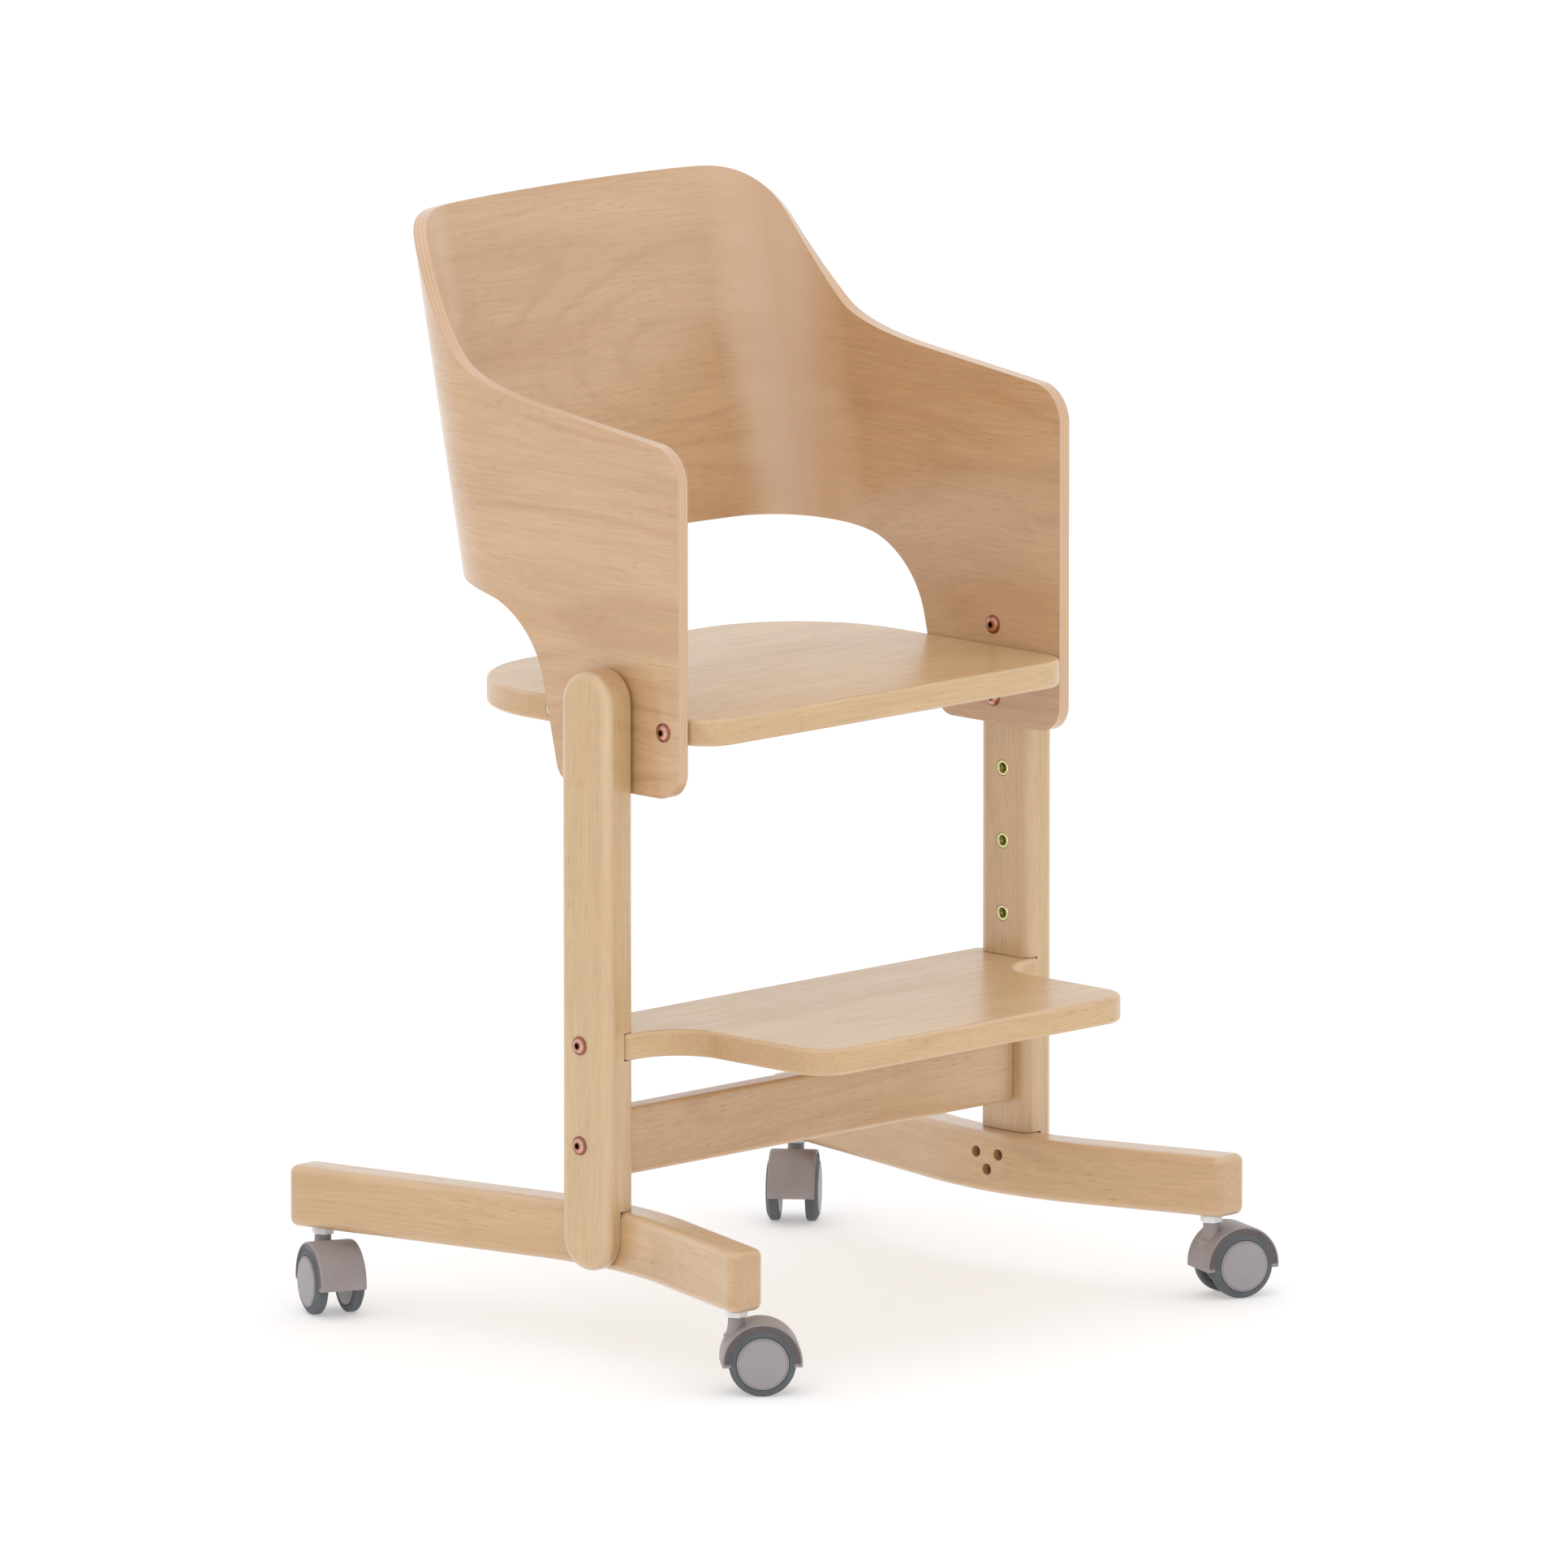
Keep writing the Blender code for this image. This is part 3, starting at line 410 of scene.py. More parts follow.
def hole(mouth, heading, *stages):
    """A stepped round hole along x; its mouth opens towards heading, stages are (radius, depth)."""
    profile = [(0.0, THROUGH)]
    above = THROUGH
    for radius, depth in stages:
        profile += [(radius, above), (radius, -depth)]
        above = -depth
    profile.append((0.0, above))
    mesh = lathe("hole", profile, 24)
    mesh.transform(Matrix.Translation(mouth) @ along_x(heading))
    return mesh


def along_x(heading):
    """Turns z to x, or to -x."""
    return Matrix.Rotation(heading * math.pi / 2, 4, "Y")


def upright(side):
    """Turns a board drawn in (y, z) with its thickness along +z to stand across x, on the given side."""
    return Matrix(((0.0, 0.0, side, 0.0), (1.0, 0.0, 0.0, 0.0), (0.0, 1.0, 0.0, 0.0), (0.0, 0.0, 0.0, 1.0)))


def settle(name, mesh, body, finish, node=None, matrix=None):
    """Puts a piece in the chair, riding on its body and standing for its CAD node."""
    piece = loose(name, mesh)
    mesh.name = name
    mesh.materials.clear()
    mesh.materials.append(finish)
    piece.matrix_world = Matrix.Translation(CHAIR) @ (matrix or Matrix())
    bpy.context.view_layer.update()
    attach(piece, body)
    if node:
        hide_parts(node)


def fit(node, mesh, body, finish, matrix):
    """Settles a copy of a mesh that several nodes share."""
    settle(f"{node}_fine", mesh.copy(), body, finish, node, matrix)


# ---- grain
def mark(mesh, places):
    """Writes the grain and marks attributes; places gives both for a vertex's spot and normal.

    Each face counts by its area in the normal, so that a hole's rim reads as the flat face round it.
    """
    facing = [Vector() for _ in mesh.vertices]
    for face in mesh.polygons:
        for index in face.vertices:
            facing[index] += face.normal * face.area
    grain = mesh.attributes.new("grain", "FLOAT_VECTOR", "POINT")
    marks = mesh.attributes.new("marks", "FLOAT_VECTOR", "POINT")
    for index, vert in enumerate(mesh.vertices):
        normal = facing[index].normalized()
        grain.data[index].vector, marks.data[index].vector = places(vert.co, normal)


def rounding(flat):
    """How far a face turns from flat (1) or square on (0) to the slope of a rounded edge."""
    return 2.0 * flat * math.sqrt(max(0.0, 1.0 - flat * flat))


def straight_grain(along, across, thick, offset):
    """Grain that runs along one axis of a board whose thickness is another."""
    def places(spot, normal):
        grain = (spot[along] + offset, spot[across] + 0.37 * offset, spot[thick] + 0.61 * offset)
        return grain, (rounding(abs(normal[thick])), normal[along] ** 2, 0.0)
    return places


# ---- node helpers
def srgb(red, green, blue):
    def linear(value):
        value /= 255.0
        return value / 12.92 if value <= 0.04045 else ((value + 0.055) / 1.055) ** 2.4
    return (linear(red), linear(green), linear(blue), 1.0)


class Finish:
    """A material and short ways to add nodes to it."""

    def __init__(self, name):
        self.material = bpy.data.materials.new(name)
        self.material.use_nodes = True
        self.tree = self.material.node_tree
        self.shader = self.tree.nodes["Principled BSDF"]

    def put(self, socket, value):
        if isinstance(value, bpy.types.NodeSocket):
            self.tree.links.new(value, socket)
        else:
            socket.default_value = value

    def node(self, kind, inputs=(), **settings):
        made = self.tree.nodes.new(kind)
        for key, value in settings.items():
            setattr(made, key, value)
        for key, value in dict(inputs).items():
            self.put(made.inputs[key], value)
        return made

    def set(self, **values):
        for key, value in values.items():
            self.put(self.shader.inputs[key.replace("_", " ")], value)

    def attribute(self, name):
        return self.node("ShaderNodeAttribute", attribute_name=name).outputs["Vector"]

    def spot(self):
        return self.node("ShaderNodeTexCoord").outputs["Object"]

    def parts(self, vector):
        return self.node("ShaderNodeSeparateXYZ", {0: vector}).outputs

    def join(self, x, y, z):
        return self.node("ShaderNodeCombineXYZ", {0: x, 1: y, 2: z}).outputs[0]

    def scaled(self, vector, scale):
        return self.node("ShaderNodeVectorMath", {0: vector, 1: scale}, operation="MULTIPLY").outputs[0]

    def math(self, operation, a, b=0.0):
        return self.node("ShaderNodeMath", {0: a, 1: b}, operation=operation).outputs[0]

    def times(self, first, *others):
        for other in others:
            first = self.math("MULTIPLY", first, other)
        return first

    def length(self, x, y):
        return self.math("SQRT", self.math("ADD", self.times(x, x), self.times(y, y)))

    def noise(self, vector, scale=1.0, detail=2.0, roughness=0.5):
        inputs = {"Vector": vector, "Scale": scale, "Detail": detail, "Roughness": roughness}
        return self.node("ShaderNodeTexNoise", inputs).outputs[0]

    def remap(self, value, low, high, to_low=0.0, to_high=1.0, smooth=False):
        kind = "SMOOTHSTEP" if smooth else "LINEAR"
        inputs = {0: value, 1: low, 2: high, 3: to_low, 4: to_high}
        return self.node("ShaderNodeMapRange", inputs, interpolation_type=kind).outputs[0]

    def mix(self, factor, a, b, mode="MIX"):
        inputs = {0: factor, 6: a, 7: b}
        return self.node("ShaderNodeMix", inputs, data_type="RGBA", blend_type=mode).outputs[2]

    def bump(self, height, strength, distance):
        inputs = {"Height": height, "Strength": strength, "Distance": distance}
        self.set(Normal=self.node("ShaderNodeBump", inputs).outputs[0])


# ---- wood
GROWTH_LINES = 95.0
TWO_PLIES = 2.9 * MM
GROWTH_BROWN = srgb(150, 98, 58)
FLECK_BROWN = srgb(150, 102, 66)
END_BROWN = srgb(188, 146, 106)
# The pale tone of the painted highlight on rounded edges.
EDGE_HIGHLIGHT = srgb(226, 196, 164)
PLY_LIGHT = srgb(214, 177, 144)
PLY_DEEP = srgb(203, 162, 125)


def wood(name, light, deep, seed, rings=0.2, loop=None, plies=False, coat=1.0):
    """Lacquered beech: tone bands, growth lines, fibres and short dark flecks along the grain, with a painted
    highlight on rounded edges.
    """
    made = Finish(name)
    grain = made.attribute("grain")
    edge, end, depth = made.parts(made.attribute("marks"))[:3]
    along, across = made.parts(grain)[:2]
    shifted = made.node("ShaderNodeVectorMath", {0: grain, 1: (seed, 0.31 * seed, 0.17 * seed)},
                        operation="ADD").outputs[0]
    sway = made.noise(made.scaled(shifted, (4.0, 14.0, 14.0)), detail=1.0)
    bent = made.times(sway, 0.03)
    wander = made.join(0.0, bent, bent)
    flowing = made.node("ShaderNodeVectorMath", {0: shifted, 1: wander}, operation="ADD").outputs[0]

    tone = made.noise(made.scaled(flowing, (2.6, 26.0, 26.0)), detail=4.0, roughness=0.55)
    tone = made.remap(tone, 0.3, 0.7)
    color = made.mix(tone, deep, light)

    field = made.noise(made.scaled(flowing, (1.3, 7.5, 7.5)), detail=0.5)
    if loop:
        # a long loop of growth lines, centred at (along, across) on the face
        centre_along, centre_across, half_length, half_height = loop
        du = made.math("DIVIDE", made.math("SUBTRACT", along, centre_along), half_length)
        dv = made.math("DIVIDE", made.math("SUBTRACT", across, centre_across), half_height)
        reach = made.length(du, dv)
        near = made.remap(reach, 0.4, 1.7, 1.0, 0.0, smooth=True)
        looped = made.math("ADD", made.times(reach, 0.17), made.times(field, 0.35))
        field = made.node("ShaderNodeMix", {0: near, 2: field, 3: looped}, data_type="FLOAT").outputs[0]
    wave = made.math("SINE", made.times(field, GROWTH_LINES))
    line = made.math("POWER", made.remap(wave, -1.0, 1.0), 5.0)
    soft = made.noise(made.scaled(flowing, (5.0, 40.0, 40.0)), detail=1.0)
    line = made.times(line, rings, made.remap(soft, 0.35, 0.65))
    darker = made.mix(0.55, deep, GROWTH_BROWN)
    color = made.mix(line, color, darker)

    fibre = made.noise(made.scaled(flowing, (17.0, 560.0, 560.0)), detail=4.0, roughness=0.62)
    fibre_tone = made.remap(fibre, 0.3, 0.7, 0.9, 1.09)
    color = made.mix(1.0, color, made.join(fibre_tone, fibre_tone, fibre_tone), "MULTIPLY")

    cells = made.node("ShaderNodeTexVoronoi", {"Vector": made.scaled(shifted, (66.0, 860.0, 860.0)),
                                               "Scale": 1.0, "Randomness": 1.0})
    chosen = made.remap(made.parts(cells.outputs["Color"])[0], 0.5, 0.75)
    patch = made.remap(made.noise(made.scaled(shifted, (9.0, 60.0, 60.0)), detail=1.0), 0.38, 0.62, 0.25, 1.0)
    fleck = made.remap(cells.outputs["Distance"], 0.16, 0.36, 1.0, 0.0, smooth=True)
    fleck = made.times(fleck, chosen, patch)
    color = made.mix(made.times(fleck, 0.5), color, FLECK_BROWN)

    grainy = made.noise(made.scaled(shifted, (420.0, 420.0, 420.0)), detail=2.0)
    ending = made.times(end, made.remap(grainy, 0.35, 0.65, 0.35, 0.75))
    color = made.mix(ending, color, END_BROWN)
    if plies:
        layer = made.math("SINE", made.times(depth, math.tau / TWO_PLIES))
        layer = made.remap(layer, -0.6, 0.6, 0.0, 1.0, smooth=True)
        rim_tone = made.mix(layer, PLY_LIGHT, PLY_DEEP)
        color = made.mix(made.times(end, 0.8), color, rim_tone)
    # Painted highlight: rounded edges are lightened towards a pale tone, patchily.
    edge_highlight = made.times(edge, made.remap(soft, 0.3, 0.7, 0.2, 0.5))
    color = made.mix(edge_highlight, color, EDGE_HIGHLIGHT)

    streaks = made.noise(made.scaled(flowing, (20.0, 160.0, 160.0)), detail=2.0)
    rough = made.math("ADD", made.remap(streaks, 0.3, 0.7, 0.33, 0.45), made.times(fleck, 0.12))
    made.set(Base_Color=color, Roughness=rough, Coat_Weight=coat, Coat_Roughness=0.24, Coat_IOR=1.58, IOR=1.5)
    relief = made.math("SUBTRACT", fibre, made.times(fleck, 0.8))
    made.bump(relief, 0.16, 0.12 * MM)
    return made.material


# ---- metals, plastics and rubber
def metal(name, base, dull, rough, bright=None, highlight_ring=(0.0, 0.0), shade_radius=0.0):
    """Plated metal with fine brushing, blotches of patina, a painted highlight ring and painted shade in its
    recesses.

    The last two arguments give the painted highlight ring's radius and half width, and the radius within
    which painted shade darkens the recess.
    """
    made = Finish(name)
    spot = made.spot()
    patina = made.remap(made.noise(spot, 380.0, 4.0), 0.35, 0.65)
    fine = made.noise(spot, 2600.0, 2.0)
    color = made.mix(made.times(patina, 0.5), base, dull)
    radius = made.length(*made.parts(spot)[:2])
    # Painted highlight: a patchy bright ring on the head, where light would glint.
    if bright:
        away = made.math("ABSOLUTE", made.math("SUBTRACT", radius, highlight_ring[0]))
        ring = made.remap(away, highlight_ring[1] * 0.2, highlight_ring[1], 1.0, 0.0, smooth=True)
        highlight_mix = made.times(ring, made.remap(made.noise(spot, 700.0, 3.0), 0.3, 0.7, 0.45, 1.0))
        color = made.mix(highlight_mix, color, bright)
    # Painted shade: the socket or bore inside the given radius is darkened towards near black.
    if shade_radius:
        inside = made.remap(radius, shade_radius - 0.4 * MM, shade_radius + 0.2 * MM, 0.9, 0.0, smooth=True)
        color = made.mix(inside, color, srgb(46, 34, 26))
    made.set(Base_Color=color, Metallic=1.0, Roughness=made.remap(fine, 0.3, 0.7, rough - 0.06, rough + 0.1))
    made.bump(fine, 0.12, 0.03 * MM)
    return made.material


def moulded(name, base, shade, rough, scale=1500.0, bump=0.2, scuff=0.1):
    """Moulded plastic or rubber: an eroded matt texture, slight tone drift and small scuffs."""
    made = Finish(name)
    spot = made.spot()
    drift = made.remap(made.noise(spot, 45.0, 3.0), 0.3, 0.7)
    pits = made.noise(spot, scale, 3.0, 0.6)
    color = made.mix(drift, shade, base)
    color = made.mix(made.remap(pits, 0.3, 0.7, 0.0, 0.12), color, shade)
    scratch = made.noise(made.scaled(spot, (240.0, 900.0, 240.0)), 1.0, 4.0)
    color = made.mix(made.remap(scratch, 0.62, 0.74, 0.0, scuff), color, srgb(205, 200, 200))
    made.set(Base_Color=color, Roughness=made.remap(pits, 0.3, 0.7, rough - 0.06, rough + 0.08))
    made.bump(pits, bump, 0.05 * MM)
    return made.material


PLY = wood("shell_beech_ply", srgb(205, 167, 126), srgb(192, 149, 104), 3.1, rings=0.38,
           loop=(0.08, 0.69, 0.155, 0.078), plies=True)
BOARD = wood("board_beech", srgb(211, 179, 135), srgb(200, 163, 116), 11.7, rings=0.18, coat=0.55)
POST = wood("post_beech", srgb(206, 174, 129), srgb(195, 159, 112), 23.9, rings=0.16)
RUNNER = wood("runner_beech", srgb(206, 171, 128), srgb(192, 153, 106), 37.3, rings=0.22)
RAIL = wood("crossbar_beech", srgb(205, 171, 130), srgb(192, 154, 111), 51.1, rings=0.22, coat=0.6)
# The bolt and insert finishes carry a painted highlight ring and painted shade in the socket and bore.
BOLT = metal("bolt_copper", srgb(168, 104, 86), srgb(112, 62, 50), 0.24, bright=srgb(232, 186, 168),
             highlight_ring=(4.2 * MM, 1.9 * MM), shade_radius=SOCKET_RADIUS)
BRASS = metal("insert_brass", srgb(206, 202, 140), srgb(170, 164, 104), 0.26, bright=srgb(244, 241, 206),
              highlight_ring=(5.2 * MM, 0.8 * MM), shade_radius=INSERT_BORE_RADIUS)
ZINC = moulded("collar_zinc", srgb(246, 247, 247), srgb(232, 235, 236), 0.38)
AXLE = metal("axle_steel", srgb(190, 190, 192), srgb(140, 140, 144), 0.32)
HOOD = moulded("hood_grey_plastic", srgb(156, 146, 146), srgb(146, 136, 136), 0.42)
HUB = moulded("hub_grey_plastic", srgb(158, 152, 155), srgb(150, 144, 147), 0.40)
TYRE = moulded("tyre_grey_rubber", srgb(94, 98, 101), srgb(80, 84, 88), 0.62, scale=1100.0, bump=0.3)
SCREW = metal("runner_screw", srgb(176, 150, 110), srgb(110, 84, 56), 0.42)


# ---- seat shell
def back_shift(z):
    return (z - BACK_LEVEL) * math.tan(BACK_LEAN)


def shell_point(s, z):
    """A point of the outer face at arc length s from the back's middle, over the back and the bend."""
    flat = SHELL_HALF_WIDTH - SHELL_BEND_RADIUS
    rear = BACK_Y + back_shift(z)
    if s <= flat:
        return Vector((s, rear, z))
    angle = (s - flat) / SHELL_BEND_RADIUS
    x = flat + SHELL_BEND_RADIUS * math.sin(angle)
    return Vector((x, rear - SHELL_BEND_RADIUS * (1 - math.cos(angle)), z))


def at(points, s):
    for first, second in zip(points, points[1:]):
        if first.x <= s <= second.x:
            return first.lerp(second, (s - first.x) / (second.x - first.x)).y
    return points[-1].y


def mm_points(points):
    return [Vector(point) * MM for point in points]


def shell_columns():
    """Pairs of outer-face points, bottom and top, from the back's middle round to the front edge."""
    flat = SHELL_HALF_WIDTH - SHELL_BEND_RADIUS
    bend_end = flat + SHELL_BEND_RADIUS * math.pi / 2
    upper = chain(bezier(*mm_points(CROWN_EDGE), 24), bezier(*mm_points(SHOULDER_EDGE), 36),
                  bezier(*mm_points(FALL_EDGE), 36))
    lower = bezier(*mm_points(ARCH_EDGE), 72)
    back_steps, bend_steps = 10, 32
    over_back = [flat * step / back_steps for step in range(back_steps)]
    over_bend = [flat + (bend_end - flat) * step / bend_steps for step in range(bend_steps + 1)]
    columns = [(shell_point(s, at(lower, s)), shell_point(s, at(upper, s))) for s in over_back + over_bend]
    leg_top, arm_rear = [(point.y, point.z) for point in columns[-1]]
    heel_arc = fillet(LEG_START, HEEL, TOE, HEEL_RADIUS, 10)
    toe_arc = fillet(HEEL, TOE, ARM_TIP, TOE_RADIUS, 14)
    tip_arc = fillet(ARM_START, ARM_TIP, TOE, ARM_TIP_RADIUS, 14)
    leg = bezier(leg_top, *LEG_HANDLES, LEG_START, 24)
    sole = straight(heel_arc[-1], toe_arc[0], 8)
    under = chain(leg, straight(LEG_START, heel_arc[0], 4), heel_arc, sole, toe_arc)
    dip = bezier(arm_rear, *ARM_HANDLES, ARM_START, 24)
    over = chain(dip, straight(ARM_START, tip_arc[0], 22), tip_arc)
    x = SHELL_HALF_WIDTH
    columns += [(Vector((x, *low)), Vector((x, *high))) for low, high in zip(under[1:], over[1:])]
    return columns


def shell_places(spot, normal):
    """Grain round the bend: arc length, height and depth from the outer face."""
    flat = SHELL_HALF_WIDTH - SHELL_BEND_RADIUS
    bend_end = flat + SHELL_BEND_RADIUS * math.pi / 2
    rear = BACK_Y + back_shift(spot.z)
    side = 1.0 if spot.x >= 0.0 else -1.0
    x, pivot = abs(spot.x), rear - SHELL_BEND_RADIUS
    if x <= flat:
        s, depth, outward = x, rear - spot.y, Vector((0.0, 1.0))
    elif spot.y >= pivot:
        reach = Vector((x - flat, spot.y - pivot))
        s = flat + SHELL_BEND_RADIUS * math.atan2(reach.x, reach.y)
        depth, outward = SHELL_BEND_RADIUS - reach.length, reach.normalized()
    else:
        s, depth, outward = bend_end + pivot - spot.y, SHELL_HALF_WIDTH - x, Vector((1.0, 0.0))
    facing = abs(Vector((abs(normal.x), normal.y)).dot(outward))
    rim = max(0.0, 1.0 - facing ** 2)
    return (side * s, spot.z, depth), (0.8 * rounding(facing), rim, depth)


def build_shell():
    half = shell_columns()
    whole = [(Vector((-a.x, a.y, a.z)), Vector((-b.x, b.y, b.z))) for a, b in reversed(half[1:])] + half
    rows = 6
    verts, faces = [], []
    for low, high in whole:
        verts += [low.lerp(high, row / rows) for row in range(rows + 1)]
    for index in range(len(whole) - 1):
        for row in range(rows):
            first = index * (rows + 1) + row
            second = first + rows + 1
            faces.append((first, second, second + 1, first + 1))
    sheet = bpy.data.meshes.new("backrest_shell")
    sheet.from_pydata([tuple(v) for v in verts], [], faces)
    outward = sum(face.normal.y for face in sheet.polygons if abs(face.center.x) < SHELL_BEND_RADIUS)
    if outward < 0:
        sheet.flip_normals()
    shape = loose("backrest_shell", sheet)
    solid = shape.modifiers.new("plywood", "SOLIDIFY")
    solid.thickness = SHELL_THICKNESS
    solid.offset = -1.0
    solid.use_even_offset = True
    bevel = shape.modifiers.new("edges", "BEVEL")
    bevel.width = SHELL_EDGE_RADIUS
    bevel.segments = 4
    bevel.limit_method = "ANGLE"
    bevel.angle_limit = math.radians(45)
    mesh = evaluated(shape)
    bolt_places = [(0.0, TOP_INSERT - index * INSERT_PITCH) for index in SHELL_BOLT_INSERTS]
    bolt_places += [(y, SEAT_TOP - SEAT_THICKNESS / 2) for y in SEAT_BOLT_YS]
    cuts = [hole((side * SHELL_HALF_WIDTH, y, z), side, (BOLT_HOLE_RADIUS, SHELL_THICKNESS + THROUGH))
            for side in SIDES.values() for y, z in bolt_places]
    mesh = smoothed(carve(mesh, cuts))
    mark(mesh, shell_places)
    settle("backrest_shell_fine", mesh, "frame", PLY, "backrest_shell")


# ---- boards
def build_seat():
    outline = rounded_outline([
        (-SEAT_HALF_WIDTH, SEAT_FRONT, SEAT_FRONT_CORNER),
        (SEAT_HALF_WIDTH, SEAT_FRONT, SEAT_FRONT_CORNER),
        (SEAT_HALF_WIDTH, SEAT_REAR, SEAT_REAR_CORNER),
        (-SEAT_HALF_WIDTH, SEAT_REAR, SEAT_REAR_CORNER),
    ], 28)
    mesh = board("seat", outline, SEAT_TOP - SEAT_THICKNESS, SEAT_TOP, BOARD_EDGE_RADIUS)
    middle = SEAT_TOP - SEAT_THICKNESS / 2
    bolt_depth = SEAT_HALF_WIDTH - SHELL_HALF_WIDTH + BOLT_LENGTH + THROUGH
    cuts = []
    for side in SIDES.values():
        for y in SEAT_BOLT_YS:
            cuts.append(hole((side * SEAT_HALF_WIDTH, y, middle), side, (BOLT_HOLE_RADIUS, bolt_depth)))
        cuts.append(hole((side * SEAT_HALF_WIDTH, SEAT_INSERT_Y, middle), side, *INSERT_STAGES))
    mesh = smoothed(carve(mesh, cuts))
    mark(mesh, straight_grain(0, 1, 2, 0.0))
    settle("seat_board_fine", mesh, "frame", BOARD, "seat_board")


def footrest_middle():
    return FOOTREST_TOP - FOOTREST_THICKNESS / 2


def crossbar_bolt_z():
    return CROSSBAR_BOTTOM + CROSSBAR_HEIGHT / 2


def long_bolt_depth(face):
    return face - (POST_INNER + POST_THICKNESS - LONG_BOLT_LENGTH) + THROUGH


def build_footrest():
    tab_end = POST_INNER + HOUSING_DEPTH - GAP
    half = [
        (tab_end, FOOTREST_REAR, TAB_CORNER),
        (tab_end, TAB_FRONT, TAB_CORNER),
        (FOOTREST_HALF_WIDTH, TAB_FRONT, FOOTREST_NECK),
        (FOOTREST_HALF_WIDTH, FOOTREST_FRONT, FOOTREST_CORNER),
    ]
    corners = half + [(-x, y, radius) for x, y, radius in reversed(half)]
    mesh = board("footrest", rounded_outline(corners, 18), FOOTREST_TOP - FOOTREST_THICKNESS, FOOTREST_TOP,
                 BOARD_EDGE_RADIUS)
    cuts = [hole((side * tab_end, LOWER_BOLT_Y, footrest_middle()), side,
                 (BOLT_HOLE_RADIUS, long_bolt_depth(tab_end))) for side in SIDES.values()]
    mesh = smoothed(carve(mesh, cuts))
    mark(mesh, straight_grain(0, 1, 2, 1.9))
    settle("footrest_fine", mesh, "frame", BOARD, "footrest")


def build_crossbar():
    half_length = POST_INNER - GAP
    half, low, high = CROSSBAR_THICKNESS / 2, CROSSBAR_BOTTOM, CROSSBAR_BOTTOM + CROSSBAR_HEIGHT
    outline = rounded_outline([(CROSSBAR_Y - half, low, CROSSBAR_EDGE_RADIUS),
                               (CROSSBAR_Y + half, low, CROSSBAR_EDGE_RADIUS),
                               (CROSSBAR_Y + half, high, CROSSBAR_EDGE_RADIUS),
                               (CROSSBAR_Y - half, high, CROSSBAR_EDGE_RADIUS)], 8)
    mesh = board("crossbar", outline, -half_length, half_length, 0.4 * MM, 2)
    mesh.transform(upright(LEFT))
    cuts = [hole((side * half_length, LOWER_BOLT_Y, crossbar_bolt_z()), side,
                 (BOLT_HOLE_RADIUS, long_bolt_depth(half_length))) for side in SIDES.values()]
    mesh = smoothed(carve(mesh, cuts))
    mark(mesh, straight_grain(0, 2, 1, 0.0))
    settle("crossbar_fine", mesh, "frame", RAIL, "crossbar")


# ---- posts and runners
def insert_heights():
    return [TOP_INSERT - index * INSERT_PITCH for index in range(INSERT_COUNT)]


def build_post(label, side):
    half = POST_WIDTH / 2
    outline = rounded_outline([(-half, POST_BOTTOM, half), (half, POST_BOTTOM, half),
                               (half, POST_TOP, half), (-half, POST_TOP, half)], 20)
    mesh = board("post", outline, POST_INNER, POST_INNER + POST_THICKNESS, POST_EDGE_RADIUS, 7)
    mesh.transform(upright(side))
    if side < 0:
        mesh.flip_normals()
    runner_depth = runner_outer_at_post() + GAP - POST_INNER
    cuts = [housing_cut(side, HOUSING_DEPTH, FOOTREST_TOP - FOOTREST_THICKNESS - GAP, FOOTREST_TOP + GAP),
            housing_cut(side, runner_depth, RUNNER_BOTTOM - POST_EDGE_RADIUS,
                        RUNNER_BOTTOM + RUNNER_HEIGHT + GAP)]
    bolt_end = (BOLT_HOLE_RADIUS, BOLT_LENGTH - SHELL_THICKNESS + THROUGH)
    for index, z in enumerate(insert_heights()):
        stages = (*INSERT_STAGES, bolt_end) if index in SHELL_BOLT_INSERTS else INSERT_STAGES
        cuts.append(hole((side * POST_INNER, 0.0, z), -side, *stages))
    for z in (footrest_middle(), crossbar_bolt_z()):
        cuts.append(hole((side * (POST_INNER + POST_THICKNESS), LOWER_BOLT_Y, z), side,
                         (BOLT_HOLE_RADIUS, POST_THICKNESS + THROUGH)))
    mesh = smoothed(carve(mesh, cuts))
    mark(mesh, straight_grain(2, 1, 0, 2.3 * side))
    settle(f"post_{label}_fine", mesh, "frame", POST, f"post_{label}")


def housing_cut(side, depth, low_z, high_z):
    low_x, high_x = sorted((side * (POST_INNER - THROUGH), side * (POST_INNER + depth)))
    return block("housing", (low_x, -POST_WIDTH, low_z), (high_x, POST_WIDTH, high_z))


def runner_face(offset, steps=40):
    centre = (RUNNER_INNER + RUNNER_BEND_RADIUS, RUNNER_BEND_Y)
    radius = RUNNER_BEND_RADIUS - offset
    bend = arc(centre, radius, math.pi + RUNNER_FRONT_SPLAY, math.pi - RUNNER_REAR_SPLAY, steps)
    front_reach = (bend[0].y - RUNNER_FRONT) * math.tan(RUNNER_FRONT_SPLAY)
    rear_reach = (RUNNER_REAR - bend[-1].y) * math.tan(RUNNER_REAR_SPLAY)
    front_end = Vector((bend[0].x + front_reach, RUNNER_FRONT))
    rear_end = Vector((bend[-1].x + rear_reach, RUNNER_REAR))
    return [front_end] + bend + [rear_end]


def runner_outer_at_post():
    return max(point.x for point in runner_face(RUNNER_THICKNESS) if abs(point.y) <= POST_WIDTH / 2)


